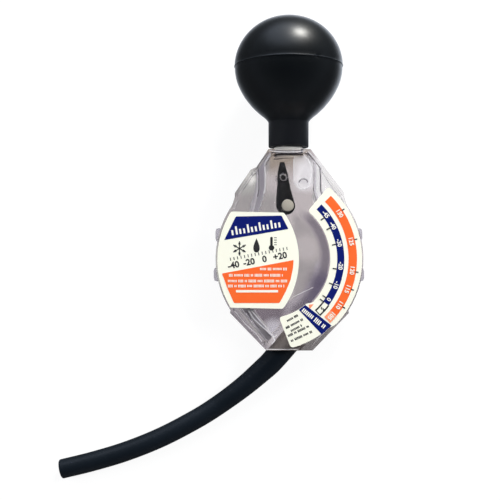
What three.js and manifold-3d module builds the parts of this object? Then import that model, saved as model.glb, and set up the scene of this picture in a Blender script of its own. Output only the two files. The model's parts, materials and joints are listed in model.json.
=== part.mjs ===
// Antifreeze tester: a rubber squeeze bulb on a flat clear housing, with a dial needle, a hanging
// balance arm and a suction hose. Millimetres, +Z up.
// It lies on its back, on the bulb and on the housing's lower back edge, with the bulb towards +Y.
import * as THREE from 'three';
import { mergeVertices } from 'three/addons/utils/BufferGeometryUtils.js';
import Module from 'manifold-3d';

const wasm = await Module();
wasm.setup();

// Clearances
const gap = 0.3;
const overrun = 1;
const weldDistance = 0.0003;

// Housing, measured up from its flat bottom edge and outwards from the neck's axis:
// the dial's centre, the shoulder above it and the top edge above the shoulder
const dialHeight = 44.7;
const shoulderRise = 32.2;
const throatLength = 21.5;
const housingThickness = 20;
const housingWall = 1.8;
const topHalfWidth = 10.3;
const bottomHalfWidth = 11.3;
const shoulderHalfWidth = 26.7;
const shoulderStep = 2;
const sideRadius = 46.8;
const sideTopDrop = 3.9;
const sideBottomDrop = 25.1;
const cornerHalfWidth = 29;
const cornerDrop = 26.4;
const throatEdge = 16.1;
const throatEdgeDrop = 8.8;
const jogWidth = 2.8;
const jogDrop = 1.2;

// Sample chamber inside the housing
const chamberInset = 8.3;
const chamberWall = 3.1;
const sealWidth = 1.3;
const throatTopHalfWidth = 9;
const throatHalfWidth = 12;
const throatDrop = 6.9;
const waistHalfWidth = 11.9;
const waistRise = 6.6;
const flareHalfWidth = 14.2;
const flareDrop = 5.7;
const chamberTopDrop = 5.2;
const chamberBottomDrop = 21.7;
const outletHalfWidth = 4.3;
const sealThickness = 1;

// Snap lugs on the housing's sides
const lugLength = 7;
const lugProud = 1.8;
const lugDepth = 8;
const upperLugRise = 11.8;
const lowerLugDrop = 7.7;

// Dial: the scale, the needle and the dished floor share one centre
const dialOffset = 10.7;
const dishRadius = 32;
const dishFloorRadius = 25;
const dishRim = 2;
const dishDepth = 3.2;

// Needle, hanging straight down at rest
const needleLength = 23.4;
const needleTipHalfWidth = 0.6;
const needleRootHalfWidth = 1.7;
const needleThickness = 1.2;
const needleLevel = 2.4;
const hubRadius = 2.4;
const hubCollarRadius = 3.6;
const needlePinRadius = 0.8;
const bossRadius = 2.6;
const bossReach = 2.7;
const floatStart = 6.2;
const floatEnd = 15.5;
const floatHalfWidth = 3.6;
const floatThickness = 4.5;
const slugRadius = 1.7;

// Balance arm, leaning to the right as it lies
const armPivotX = -2.9;
const armHeadroom = 1.48;
const armLean = 5.5;
const armReach = 13.7;
const armEndRadius = 4.5;
const armTipReach = 6.5;
const armTipRadius = 1.25;
const armThickness = 3;
const armLevel = 3;
const discRadius = 2.9;
const discShift = 1;
const discProud = 0.4;
const armPinRadius = 1.2;
const armWasherRadius = 2.2;
const armWasherThickness = 0.5;

// Moulded lobe and locating boss beside the balance arm
const lobeHalfWidth = 4.7;
const lobeX = 6.9;
const lobeDrop = 14.9;
const lobeLength = 11.5;
const lobeThickness = 0.9;
const locatorRadius = 2.5;
const locatorReach = 1.6;

// Neck adapter and its washer
const adapterRadius = 6.5;
const adapterBore = 4;
const adapterRise = 12.6;
const barbProud = 0.5;
const barbLength = 3;
const barbCount = 3;
const flangeRadius = 7.4;
const collarRadius = 8.1;
const flangeThickness = 1.4;
const washerRadius = 7.7;
const washerThickness = 0.8;

// Squeeze bulb
const bulbRadius = 27;
const bulbDomeRise = 25.1;
const bulbRise = 42.3;
const bulbWall = 2.6;
const bulbNeckRadius = 10;
const bulbNeckRise = 14.8;
const bulbFlareRadius = 11.6;
const bulbFlareRise = 17.2;
const bulbShoulderAngle = 56.25;
const bulbInnerShoulderAngle = 48.34;
const bulbSeamProud = 0.2;
const bulbSeamHalfWidth = 0.6;

// Hose and the fitting that it meets inside the housing
const hoseDiameter = 10;
// Added to the diameter of its hole, because the hose is thicker over the fitting.
const hoseSwell = 1.7;
const hoseExitX = -2.66;
const hoseAngle = 50;
const hoseInside = 9;
const fittingRadius = 5.4;
const fittingBore = 3;
const fittingLength = 9.5;
const fittingCollarRadius = 6.8;
const fittingCollarStart = 3;
const fittingCollarLength = 2;
const socketHalfWidth = 8.4;
const socketLength = 16.5;

// Labels
const labelThickness = 0.35;
const labelCornerRadius = 2;
const nameLabelTopRise = 22.4;
const nameLabelBottomDrop = 23.9;
const nameLabelTopLeft = -28.2;
const nameLabelTopRight = -2.2;
const nameLabelBottomLeft = -29;
const nameLabelBottomRight = -3.7;
const nameLabelLeft = -35.2;
const nameLabelRight = 4.6;
const scaleInnerRadius = 30.6;
const scaleOuterRadius = 46.1;
const scaleTo = 50;
const tailInnerRadius = 28.9;
const tailOuterRadius = 44.9;
const tailTo = -46.5;
const tailStep = 1.8;
const tailInnerFrom = -78.9;
const tailOuterFrom = -75.3;

// Smoothness of round shapes
const arcSteps = 14;
const roundSides = 32;
const pinSides = 16;
const bulbSides = 40;

const halfThickness = housingThickness / 2;
const innerFace = halfThickness - housingWall;
const dialX = -dialOffset;

// Heights that follow from the dial's, the shoulder's and the top edge's
const shoulderHeight = dialHeight + shoulderRise;
const housingHeight = shoulderHeight + throatLength;
const topWallUnderside = housingHeight - housingWall;
const sideTop = shoulderHeight - shoulderStep - sideTopDrop;
const sideBottom = dialHeight - sideBottomDrop;
const cornerHeight = dialHeight - cornerDrop;
const throatEdgeHeight = housingHeight - throatEdgeDrop;
const throatHeight = housingHeight - throatDrop;
const flareHeight = shoulderHeight - flareDrop;
const waistHeight = flareHeight + waistRise;
const chamberTop = flareHeight - chamberTopDrop;
const chamberBottom = dialHeight - chamberBottomDrop;
const lobeHeight = housingHeight - lobeDrop;
const adapterTop = housingHeight + adapterRise;
const bulbHeight = housingHeight + bulbRise;
const bulbNeckTop = housingHeight + bulbNeckRise;
const bulbFlareHeight = housingHeight + bulbFlareRise;
const nameLabelTop = dialHeight + nameLabelTopRise;
const nameLabelBottom = dialHeight - nameLabelBottomDrop;

// The balance arm hangs clear of the neck adapter's lower flange.
const lowerFlangeTop = topWallUnderside - gap - washerThickness - gap;
const adapterFoot = lowerFlangeTop - flangeThickness;
const armTipRise = armTipReach * Math.cos(THREE.MathUtils.degToRad(armLean)) + armTipRadius;
const armPivotHeight = adapterFoot - armHeadroom - armTipRise;

// Points and outlines

function arcPoints(centreX, centreY, radius, fromAngle, toAngle, steps) {
  const points = [];
  for (let i = 0; i <= steps; i += 1) {
    const angle = fromAngle + ((toAngle - fromAngle) * i) / steps;
    points.push(new THREE.Vector2(centreX + radius * Math.cos(angle), centreY + radius * Math.sin(angle)));
  }
  return points;
}

function circlePoints(centreX, centreY, radius, sides) {
  return arcPoints(centreX, centreY, radius, 0, 2 * Math.PI, sides).slice(0, sides);
}

// The bulging right side, concentric with the dial, from one height down to another.
function sideArc(radius, high, low) {
  const from = Math.asin((high - dialHeight) / radius);
  const to = Math.asin((low - dialHeight) / radius);
  return arcPoints(dialX, dialHeight, radius, from, to, arcSteps);
}

function mirrored(points) {
  return points.map((p) => new THREE.Vector2(-p.x, p.y)).reverse();
}

function point(x, y) {
  return new THREE.Vector2(x, y);
}

function housingOutline() {
  const lowerRight = [
    point(shoulderHalfWidth, shoulderHeight),
    point(shoulderHalfWidth, shoulderHeight - shoulderStep),
    ...sideArc(sideRadius, sideTop, sideBottom),
    point(cornerHalfWidth, cornerHeight),
    point(bottomHalfWidth, 0),
  ];
  const jog = [
    point(-throatEdge - jogWidth, throatEdgeHeight - jogDrop),
    point(-throatEdge, throatEdgeHeight),
  ];
  const topRight = point(topHalfWidth, housingHeight);
  const topLeft = point(-topHalfWidth, housingHeight);
  return [topRight, ...lowerRight, ...mirrored(lowerRight), ...jog, topLeft];
}

function chamberOutline() {
  const right = [
    point(throatTopHalfWidth, topWallUnderside),
    point(throatHalfWidth, throatHeight),
    point(waistHalfWidth, waistHeight),
    point(flareHalfWidth, flareHeight),
    ...sideArc(sideRadius - chamberInset, chamberTop, chamberBottom),
    point(outletHalfWidth, housingWall),
  ];
  return [...right, ...mirrored(right)];
}

// Moves every edge of an outline inwards by a distance, or outwards when it is negative.
function inset(points, distance) {
  const turn = THREE.ShapeUtils.isClockWise(points) ? -1 : 1;
  const count = points.length;
  return points.map((p, i) => {
    const into = p.clone().sub(points[(i + count - 1) % count]).normalize();
    const out = points[(i + 1) % count].clone().sub(p).normalize();
    const a = point(-into.y * turn, into.x * turn);
    const b = point(-out.y * turn, out.x * turn);
    return p.clone().addScaledVector(a.clone().add(b), distance / (1 + a.dot(b)));
  });
}

// Replaces each corner of an outline by a small arc, drawn as a curve through the corner.
function rounded(points, radius, steps) {
  const count = points.length;
  const result = [];
  points.forEach((p, i) => {
    const before = points[(i + count - 1) % count].clone().sub(p);
    const after = points[(i + 1) % count].clone().sub(p);
    const reach = Math.min(radius, before.length() / 2, after.length() / 2);
    const start = p.clone().addScaledVector(before.normalize(), reach);
    const end = p.clone().addScaledVector(after.normalize(), reach);
    result.push(...new THREE.QuadraticBezierCurve(start, p, end).getPoints(steps));
  });
  return result;
}

// Geometry to solids and back

function solidOf(geometry) {
  const bare = new THREE.BufferGeometry();
  bare.setAttribute('position', geometry.getAttribute('position').clone());
  if (geometry.index) {
    bare.setIndex(geometry.index.clone());
  }
  const merged = mergeVertices(bare, weldDistance);
  const mesh = new wasm.Mesh({
    numProp: 3,
    vertProperties: new Float32Array(merged.getAttribute('position').array),
    triVerts: new Uint32Array(merged.index.array),
  });
  return new wasm.Manifold(mesh);
}

function geometryOf(solid) {
  const mesh = solid.getMesh();
  const geometry = new THREE.BufferGeometry();
  geometry.setAttribute('position', new THREE.BufferAttribute(new Float32Array(mesh.vertProperties), 3));
  geometry.setIndex(new THREE.BufferAttribute(new Uint32Array(mesh.triVerts), 1));
  geometry.computeVertexNormals();
  return geometry;
}

// A flat piece of an outline between two levels, with holes of their own outlines.
function plate(points, low, high, holes = []) {
  const outer = THREE.ShapeUtils.isClockWise(points) ? [...points].reverse() : points;
  const shape = new THREE.Shape(outer);
  holes.forEach((hole) => shape.holes.push(new THREE.Path(hole)));
  const geometry = new THREE.ExtrudeGeometry(shape, { depth: high - low, bevelEnabled: false });
  return solidOf(geometry.translate(0, 0, low));
}

// A round piece standing between two levels.
function post(x, y, radius, low, high, sides = pinSides) {
  return plate(circlePoints(x, y, radius, sides), low, high);
}

// A piece turned about the neck's axis from pairs of radius and height.
function turned(pairs, sides) {
  const profile = pairs.map(([radius, height]) => point(radius, height));
  return solidOf(new THREE.LatheGeometry([...profile, profile[0].clone()], sides));
}

// A round bar or hole along the hose's slanted axis, measured inwards from the housing's bottom edge.
function alongHose(radius, from, to, sides = roundSides) {
  const geometry = new THREE.CylinderGeometry(radius, radius, to - from, sides);
  geometry.translate(0, (from + to) / 2, 0);
  geometry.rotateZ(THREE.MathUtils.degToRad(hoseAngle - 90));
  geometry.translate(hoseExitX, 0, 0);
  return solidOf(geometry);
}

// Housing shells

function neckHole() {
  const high = housingHeight + overrun;
  const low = topWallUnderside - chamberWall - overrun;
  const geometry = new THREE.CylinderGeometry(adapterRadius + gap, adapterRadius + gap, high - low, roundSides);
  return solidOf(geometry.translate(0, (high + low) / 2, 0));
}

// Room for the hose, the fitting and its collar.
function hoseHoles() {
  const fittingStart = hoseInside + gap;
  const collarStart = fittingStart + fittingCollarStart;
  const hoseRoom = alongHose((hoseDiameter + hoseSwell) / 2 + gap, -housingThickness, fittingStart);
  const fittingRoom = alongHose(fittingRadius + gap, fittingStart - overrun, fittingStart + fittingLength + overrun);
  const collarRoom = alongHose(
    fittingCollarRadius + gap,
    collarStart - gap,
    collarStart + fittingCollarLength + gap,
  );
  return hoseRoom.add(fittingRoom).add(collarRoom);
}

// The block that grips the hose and its fitting, as an outline along the hose's axis.
function socketOutline(length = socketLength) {
  const angle = THREE.MathUtils.degToRad(hoseAngle);
  const along = point(Math.cos(angle), Math.sin(angle));
  const across = point(-along.y, along.x);
  const corners = [
    [-length, -socketHalfWidth],
    [length, -socketHalfWidth],
    [length, socketHalfWidth],
    [-length, socketHalfWidth],
  ];
  return corners.map(([a, b]) => point(hoseExitX, 0).addScaledVector(along, a).addScaledVector(across, b));
}

// One half of the housing, made for the front, where levels count up from the parting plane.
function shellHalf() {
  const outline = housingOutline();
  const chamber = chamberOutline();
  const face = plate(outline, innerFace, halfThickness);
  const skirt = plate(outline, gap / 2, innerFace + overrun, [inset(outline, housingWall)]);
  const ribFoot = sealThickness / 2 + gap;
  const inside = plate(outline, 0, halfThickness);
  const rib = plate(inset(chamber, -chamberWall), ribFoot, innerFace + overrun, [chamber]).intersect(inside);
  const socket = plate(socketOutline(), gap / 2, innerFace + overrun).intersect(inside);
  return face.add(skirt).add(rib).add(socket);
}

// A snap lug: a root fused to its own shell and a tongue that reaches past the parting plane.
function lug(side, height) {
  const edge = Math.sqrt(sideRadius ** 2 - (height - dialHeight) ** 2) - dialOffset;
  const halfLength = lugLength / 2;
  const outer = rounded(
    [
      point(edge - housingWall, height - halfLength),
      point(edge + lugProud, height - halfLength),
      point(edge + lugProud, height + halfLength),
      point(edge - housingWall, height + halfLength),
    ],
    housingWall,
    2,
  );
  const flipped = side > 0 ? outer : outer.map((p) => point(-p.x, p.y));
  const whole = plate(flipped, -lugDepth / 2, lugDepth / 2);
  const otherShell = plate(inset(housingOutline(), -gap), -housingThickness, gap / 2);
  return whole.subtract(otherShell);
}

// Mirrors a shape in the parting plane, with its faces still pointing out.
function mirroredToBack(geometry) {
  geometry.scale(1, 1, -1);
  const index = geometry.index.array;
  for (let i = 0; i < index.length; i += 3) {
    [index[i], index[i + 1]] = [index[i + 1], index[i]];
  }
  return geometry;
}

// The moulded lobe on the inner face, with its round locating boss.
function lobe() {
  const lobeTop = lobeHeight + lobeLength;
  const lowArc = arcPoints(lobeX, lobeHeight, lobeHalfWidth, -Math.PI, 0, arcSteps);
  const outline = [...lowArc, point(lobeX + lobeHalfWidth, lobeTop), point(lobeX - lobeHalfWidth, lobeTop)];
  const pad = plate(outline, innerFace - lobeThickness, innerFace + housingWall / 2);
  const boss = post(lobeX, lobeHeight, locatorRadius, innerFace - locatorReach, innerFace, roundSides);
  return pad.add(boss).intersect(plate(housingOutline(), 0, halfThickness));
}

function needleBossLevel() {
  return innerFace - bossReach;
}

function frontShell() {
  const needleBoss = post(dialX, dialHeight, bossRadius, needleBossLevel(), innerFace + overrun);
  const armBossFoot = armLevel + armThickness + gap + armWasherThickness + gap;
  const armBoss = post(armPivotX, armPivotHeight, armWasherRadius, armBossFoot, innerFace + overrun);
  const needleHole = post(dialX, dialHeight, needlePinRadius + gap, 0, innerFace);
  const armHole = post(armPivotX, armPivotHeight, armPinRadius + gap, 0, innerFace);
  return shellHalf()
    .add(lug(1, dialHeight + upperLugRise))
    .add(lug(-1, dialHeight + upperLugRise))
    .add(needleBoss)
    .add(armBoss)
    .add(lobe())
    .subtract(needleHole)
    .subtract(armHole)
    .subtract(neckHole())
    .subtract(hoseHoles());
}

// The raised rim of the dish that the needle sweeps over.
function dish() {
  const floor = -innerFace - housingWall / 2;
  const rimLevel = -innerFace + dishDepth;
  const slope = [];
  for (let i = 0; i <= 4; i += 1) {
    const angle = (i / 4) * (Math.PI / 2);
    const radius = dishFloorRadius + (dishRadius - dishFloorRadius) * Math.sin(angle);
    slope.push([radius, -innerFace + dishDepth * (1 - Math.cos(angle))]);
  }
  const outer = dishRadius + dishRim;
  const pairs = [[outer, floor], [outer, rimLevel], ...slope.reverse(), [dishFloorRadius, floor]];
  const profile = pairs.map(([radius, level]) => point(radius, level));
  const geometry = new THREE.LatheGeometry([...profile, profile[0].clone()], bulbSides);
  mirroredToBack(geometry.rotateX(Math.PI / 2)).translate(dialX, dialHeight, 0);
  return solidOf(geometry).intersect(plate(chamberOutline(), -halfThickness, 0));
}

function backShell() {
  const hubFoot = needleLevel - floatThickness;
  const needleBoss = post(dialX, dialHeight, bossRadius, -innerFace - housingWall / 2, hubFoot - gap);
  const armBoss = post(armPivotX, armPivotHeight, bossRadius, -innerFace - housingWall / 2, armLevel - gap);
  const needleHole = post(dialX, dialHeight, needlePinRadius + gap, -innerFace, hubFoot);
  const armHole = post(armPivotX, armPivotHeight, armPinRadius + gap, -innerFace, armLevel);
  const lugHeight = dialHeight - lowerLugDrop;
  const half = shellHalf().add(lug(1, lugHeight)).add(lug(-1, lugHeight));
  return solidOf(mirroredToBack(geometryOf(half)))
    .add(dish())
    .add(needleBoss)
    .add(armBoss)
    .subtract(needleHole)
    .subtract(armHole)
    .subtract(neckHole())
    .subtract(hoseHoles());
}

// Sealing strip of one side, in the joint between the chamber's two walls.
function chamberSeal(side) {
  const chamber = chamberOutline();
  const half = sealThickness / 2;
  const strip = plate(inset(chamber, -sealWidth), -half, half, [inset(chamber, -gap)]);
  const keep = plate(
    [
      point(0, -overrun),
      point(side * housingHeight, -overrun),
      point(side * housingHeight, housingHeight),
      point(0, housingHeight),
    ],
    -housingThickness,
    housingThickness,
  );
  const fittingEnd = hoseInside + gap + fittingLength;
  const socket = plate(inset(socketOutline(fittingEnd), -gap), -housingThickness, housingThickness);
  const shank = adapterRadius + 2 * gap;
  const neck = plate(
    [
      point(-shank, topWallUnderside - housingWall),
      point(shank, topWallUnderside - housingWall),
      point(shank, housingHeight),
      point(-shank, housingHeight),
    ],
    -housingThickness,
    housingThickness,
  );
  const skirt = plate(housingOutline(), -halfThickness, halfThickness, [inset(housingOutline(), housingWall + gap)]);
  const cuts = socket.add(neck).add(skirt);
  return strip.intersect(keep).subtract(cuts);
}

// Neck pieces

function neckAdapter() {
  const collarFoot = housingHeight + gap;
  const barbs = [];
  for (let i = 0; i < barbCount; i += 1) {
    const height = adapterTop - i * barbLength;
    barbs.push([adapterRadius - barbProud, height], [adapterRadius, height - barbLength]);
  }
  return turned(
    [
      [adapterBore, adapterFoot],
      [flangeRadius, adapterFoot],
      [flangeRadius, lowerFlangeTop],
      [adapterRadius, lowerFlangeTop],
      [adapterRadius, collarFoot],
      [collarRadius, collarFoot],
      [collarRadius, collarFoot + flangeThickness],
      [adapterRadius, collarFoot + flangeThickness],
      ...barbs.reverse(),
      [adapterBore, adapterTop],
    ],
    roundSides,
  );
}

function neckWasher() {
  const high = topWallUnderside - gap;
  const low = high - washerThickness;
  const inner = adapterRadius + gap;
  return turned([[inner, low], [washerRadius, low], [washerRadius, high], [inner, high]], roundSides);
}

// The bulb's upper half is flatter than a ball.
function domePoints(radius, rise, fromAngle, steps) {
  const round = arcPoints(0, 0, 1, fromAngle, Math.PI / 2, steps);
  return round.map((p) => point(p.x * radius, bulbHeight + p.y * rise));
}

// The pear-shaped bulb, hollow and open at its neck, with a moulded seam round its middle.
function squeezeBulb() {
  const neckFoot = housingHeight + gap + flangeThickness + gap;
  const bore = adapterRadius + gap;
  const shoulder = THREE.MathUtils.degToRad(bulbShoulderAngle);
  const innerShoulder = THREE.MathUtils.degToRad(bulbInnerShoulderAngle);
  const seam = Math.asin(bulbSeamHalfWidth / bulbRadius);
  const outside = [
    point(0, neckFoot),
    point(bulbNeckRadius, neckFoot),
    point(bulbNeckRadius, bulbNeckTop),
    point(bulbFlareRadius, bulbFlareHeight),
    ...arcPoints(0, bulbHeight, bulbRadius, -shoulder, -seam, arcSteps / 2),
    point(bulbRadius + bulbSeamProud, bulbHeight),
    ...domePoints(bulbRadius, bulbDomeRise, seam, arcSteps),
  ];
  const inside = [
    point(0, neckFoot - overrun),
    point(bore, neckFoot - overrun),
    point(bore, bulbFlareHeight + bulbWall),
    ...arcPoints(0, bulbHeight, bulbRadius - bulbWall, -innerShoulder, 0, arcSteps / 2),
    ...domePoints(bulbRadius - bulbWall, bulbDomeRise - bulbWall, seam, arcSteps),
  ];
  const outer = solidOf(new THREE.LatheGeometry(outside, bulbSides));
  return outer.subtract(solidOf(new THREE.LatheGeometry(inside, bulbSides)));
}

// Needle, turning on a steel pin

function needlePin() {
  const backHole = -innerFace + gap;
  return post(dialX, dialHeight, needlePinRadius, backHole, innerFace - gap);
}

function needleHub() {
  const low = needleLevel - floatThickness;
  const high = needleBossLevel() - gap;
  const hub = post(dialX, dialHeight, hubRadius, low, high);
  const collar = post(dialX, dialHeight, hubCollarRadius, low, needleLevel - gap);
  const bore = post(dialX, dialHeight, needlePinRadius + gap, low - overrun, high + overrun);
  return hub.add(collar).subtract(bore);
}

function needle() {
  const high = needleLevel + needleThickness;
  const ringRadius = hubCollarRadius;
  const ring = post(dialX, dialHeight, ringRadius, needleLevel, high);
  const blade = plate(
    [
      point(dialX - needleRootHalfWidth, dialHeight),
      point(dialX - needleTipHalfWidth, dialHeight - needleLength),
      point(dialX + needleTipHalfWidth, dialHeight - needleLength),
      point(dialX + needleRootHalfWidth, dialHeight),
    ],
    needleLevel,
    high,
  );
  const hole = post(dialX, dialHeight, hubRadius + gap, needleLevel - overrun, high + overrun);
  return ring.add(blade).subtract(hole);
}

function floatOutline() {
  const low = dialHeight - floatEnd;
  const high = dialHeight - floatStart;
  return rounded(
    [
      point(dialX - floatHalfWidth, low),
      point(dialX + floatHalfWidth, low),
      point(dialX + floatHalfWidth, high),
      point(dialX - floatHalfWidth, high),
    ],
    floatHalfWidth,
    3,
  );
}

function slugHeight() {
  return dialHeight - (floatStart + floatEnd) / 2;
}

function needleFloat() {
  const high = needleLevel - gap;
  const low = needleLevel - floatThickness;
  const hole = post(dialX, slugHeight(), slugRadius + gap, low - overrun, high + overrun);
  return plate(floatOutline(), low, high).subtract(hole);
}

function needleSlug() {
  return post(dialX, slugHeight(), slugRadius, needleLevel - floatThickness, needleLevel - gap);
}

// Balance arm, turning on its own pin

// A place on the arm's centre line, measured down from the pivot.
function onArm(distance) {
  const lean = THREE.MathUtils.degToRad(armLean);
  return point(armPivotX + distance * Math.sin(lean), armPivotHeight - distance * Math.cos(lean));
}

// The disc sits a little to the right of the arm's centre line.
function discCentre() {
  const lean = THREE.MathUtils.degToRad(armLean);
  return onArm(armReach).add(point(discShift * Math.cos(lean), discShift * Math.sin(lean)));
}

function armOutline() {
  const tip = onArm(-armTipReach);
  const end = onArm(armReach);
  const down = THREE.MathUtils.degToRad(armLean - 90);
  const spread = Math.asin((armEndRadius - armTipRadius) / (armReach + armTipReach));
  const half = Math.PI / 2 + spread;
  const endArc = arcPoints(end.x, end.y, armEndRadius, down - half, down + half, arcSteps);
  const up = down + Math.PI;
  const tipHalf = Math.PI / 2 - spread;
  const tipArc = arcPoints(tip.x, tip.y, armTipRadius, up - tipHalf, up + tipHalf, arcSteps / 2);
  return [...endArc, ...tipArc];
}

function balanceArm() {
  const end = discCentre();
  const high = armLevel + armThickness;
  const body = plate(armOutline(), armLevel, high);
  const discHole = post(end.x, end.y, discRadius + gap, armLevel + armThickness / 2, high + overrun, roundSides);
  const pivotHole = post(armPivotX, armPivotHeight, armPinRadius + gap, armLevel - overrun, high + overrun);
  return body.subtract(discHole).subtract(pivotHole);
}

function balanceDisc() {
  const end = discCentre();
  const low = armLevel + armThickness / 2 + gap;
  return post(end.x, end.y, discRadius, low, armLevel + armThickness + discProud, roundSides);
}

function armWasher() {
  const low = armLevel + armThickness + gap;
  const high = low + armWasherThickness;
  const ring = post(armPivotX, armPivotHeight, armWasherRadius, low, high, roundSides);
  const bore = post(armPivotX, armPivotHeight, armPinRadius + gap, low - overrun, high + overrun);
  return ring.subtract(bore);
}

function armPin() {
  return post(armPivotX, armPivotHeight, armPinRadius, -innerFace + gap, innerFace - gap);
}

// Hose fitting, held by its collar in the socket
function hoseFitting() {
  const start = hoseInside + gap;
  const collarStart = start + fittingCollarStart;
  const tube = alongHose(fittingRadius, start + gap, start + fittingLength);
  const collar = alongHose(fittingCollarRadius, collarStart, collarStart + fittingCollarLength);
  const bore = alongHose(fittingBore, 0, start + fittingLength + overrun);
  return tube.add(collar).subtract(bore);
}

// Labels on the front face

// An arc through three points, the second being its middle.
function arcThrough(start, middle, end, steps) {
  const chord = end.clone().sub(start);
  const half = chord.length() / 2;
  const centreLine = start.clone().add(end).multiplyScalar(1 / 2);
  const rise = middle.clone().sub(centreLine);
  const sagitta = rise.length();
  const radius = (half ** 2 + sagitta ** 2) / (2 * sagitta);
  const centre = centreLine.addScaledVector(rise.normalize(), sagitta - radius);
  const first = start.clone().sub(centre).angle();
  let sweep = end.clone().sub(centre).angle() - first;
  sweep -= 2 * Math.PI * Math.round(sweep / (2 * Math.PI));
  return arcPoints(centre.x, centre.y, radius, first, first + sweep, steps);
}

function nameLabelOutline() {
  const middle = (nameLabelTop + nameLabelBottom) / 2;
  const right = arcThrough(
    point(nameLabelBottomRight, nameLabelBottom),
    point(nameLabelRight, middle),
    point(nameLabelTopRight, nameLabelTop),
    arcSteps,
  );
  const left = arcThrough(
    point(nameLabelTopLeft, nameLabelTop),
    point(nameLabelLeft, middle),
    point(nameLabelBottomLeft, nameLabelBottom),
    arcSteps,
  );
  return rounded([...right, ...left], labelCornerRadius, 1);
}

// The scale, with a wider block at its lower end.
function scaleLabelOutline() {
  const about = (radius, from, to, steps) => {
    const [first, last] = [from, to].map(THREE.MathUtils.degToRad);
    return arcPoints(dialX, dialHeight, radius, first, last, steps);
  };
  const outline = [
    ...about(tailOuterRadius, tailOuterFrom, tailTo - tailStep, arcSteps / 2),
    ...about(scaleOuterRadius, tailTo + tailStep, scaleTo, 2 * arcSteps),
    ...about(scaleInnerRadius, scaleTo, tailTo + tailStep, 2 * arcSteps),
    ...about(tailInnerRadius, tailTo - tailStep, tailInnerFrom, arcSteps / 2),
  ];
  return rounded(outline, labelCornerRadius, 1);
}

function label(outline) {
  const low = halfThickness + gap;
  return plate(outline, low, low + labelThickness);
}

// Hose route from the fitting to the bare end, on the surface that the tester lies on.
// The points are chosen by hand, in the part's own frame.
const hoseRoute = [
  [3.13, -74.94, 10.76],
  [0.23, -78.37, 10.34],
  [-2.66, -81.79, 9.93],
  [-6.2, -85.97, 9.4],
  [-9.4, -89.5, 8.75],
  [-12.8, -92.6, 7.9],
  [-20.5, -99.3, 6.6],
  [-26.9, -104.3, 5.8],
  [-33.3, -108.9, 5.3],
  [-40.7, -113.8, 5.05],
  [-48.3, -118.2, 5.05],
  [-63.4, -125.9, 5.05],
  [-80.8, -132.8, 5.05],
  [-98, -137.9, 5.05],
  [-113.4, -141.6, 5.05],
];

function hose() {
  const points = hoseRoute.map(([x, y, z]) => new THREE.Vector3(x, y, z));
  const path = new THREE.CatmullRomCurve3(points, false, 'centripetal');
  const section = new THREE.Shape(circlePoints(0, 0, hoseDiameter / 2, 12));
  return new THREE.ExtrudeGeometry(section, { steps: 12, extrudePath: path, bevelEnabled: false });
}

// Scene graph

function materialOf(color, roughness, metalness = 0, opacity = 1) {
  const seeThrough = opacity < 1;
  return new THREE.MeshStandardMaterial({ color, roughness, metalness, opacity, transparent: seeThrough });
}

function named(name, geometry, material) {
  const mesh = new THREE.Mesh(geometry, material);
  mesh.name = name;
  return mesh;
}

// The bulb's height over the housing sets how far the whole tester tips when it lies down.
const contactReach = Math.hypot(bulbHeight, halfThickness);
const tilt = Math.asin(bulbRadius / contactReach) - Math.atan2(halfThickness, bulbHeight);
const lift = halfThickness * Math.cos(tilt);
const domeReach = Math.hypot(bulbDomeRise * Math.cos(tilt), bulbRadius * Math.sin(tilt));
const span = bulbHeight * Math.cos(tilt) + domeReach - halfThickness * Math.sin(tilt);

const tester = new THREE.Group();
tester.rotation.x = tilt;
tester.position.set(0, -span / 2, lift);

const pieces = [
  ['back_shell', backShell(), materialOf('#b9b4ba', 0.2, 0, 0.5)],
  ['front_shell', frontShell(), materialOf('#cbc7cd', 0.15, 0, 0.4)],
  ['chamber_seal_left', chamberSeal(-1), materialOf('#8d8a90', 0.6)],
  ['chamber_seal_right', chamberSeal(1), materialOf('#8d8a90', 0.6)],
  ['neck_adapter', neckAdapter(), materialOf('#e9e8e6', 0.3)],
  ['neck_washer', neckWasher(), materialOf('#2a2421', 0.7)],
  ['squeeze_bulb', squeezeBulb(), materialOf('#17191c', 0.55)],
  ['needle_pin', needlePin(), materialOf('#c4c4c6', 0.3, 1)],
  ['needle_hub', needleHub(), materialOf('#e6e1d2', 0.5)],
  ['needle', needle(), materialOf('#141416', 0.45)],
  ['needle_float', needleFloat(), materialOf('#ece7d6', 0.6)],
  ['needle_slug', needleSlug(), materialOf('#b79a55', 0.35, 1)],
  ['arm_pin', armPin(), materialOf('#101012', 0.4)],
  ['arm_washer', armWasher(), materialOf('#8f8f90', 0.35)],
  ['balance_arm', balanceArm(), materialOf('#121212', 0.45)],
  ['balance_disc', balanceDisc(), materialOf('#b7b5a4', 0.5)],
  ['hose_fitting', hoseFitting(), materialOf('#3a3a3c', 0.5)],
  ['name_label', label(nameLabelOutline()), materialOf('#fffce6', 0.6)],
  ['scale_label', label(scaleLabelOutline()), materialOf('#fffce6', 0.6)],
];
pieces.forEach(([name, solid, material]) => tester.add(named(name, geometryOf(solid), material)));

const part = new THREE.Group();
part.add(tester);
part.add(named('hose', hose(), materialOf('#15181c', 0.5)));

export default part;
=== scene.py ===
import json
import math

import bmesh
import bpy
from mathutils import Matrix, Vector
from mathutils.geometry import tessellate_polygon


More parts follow.
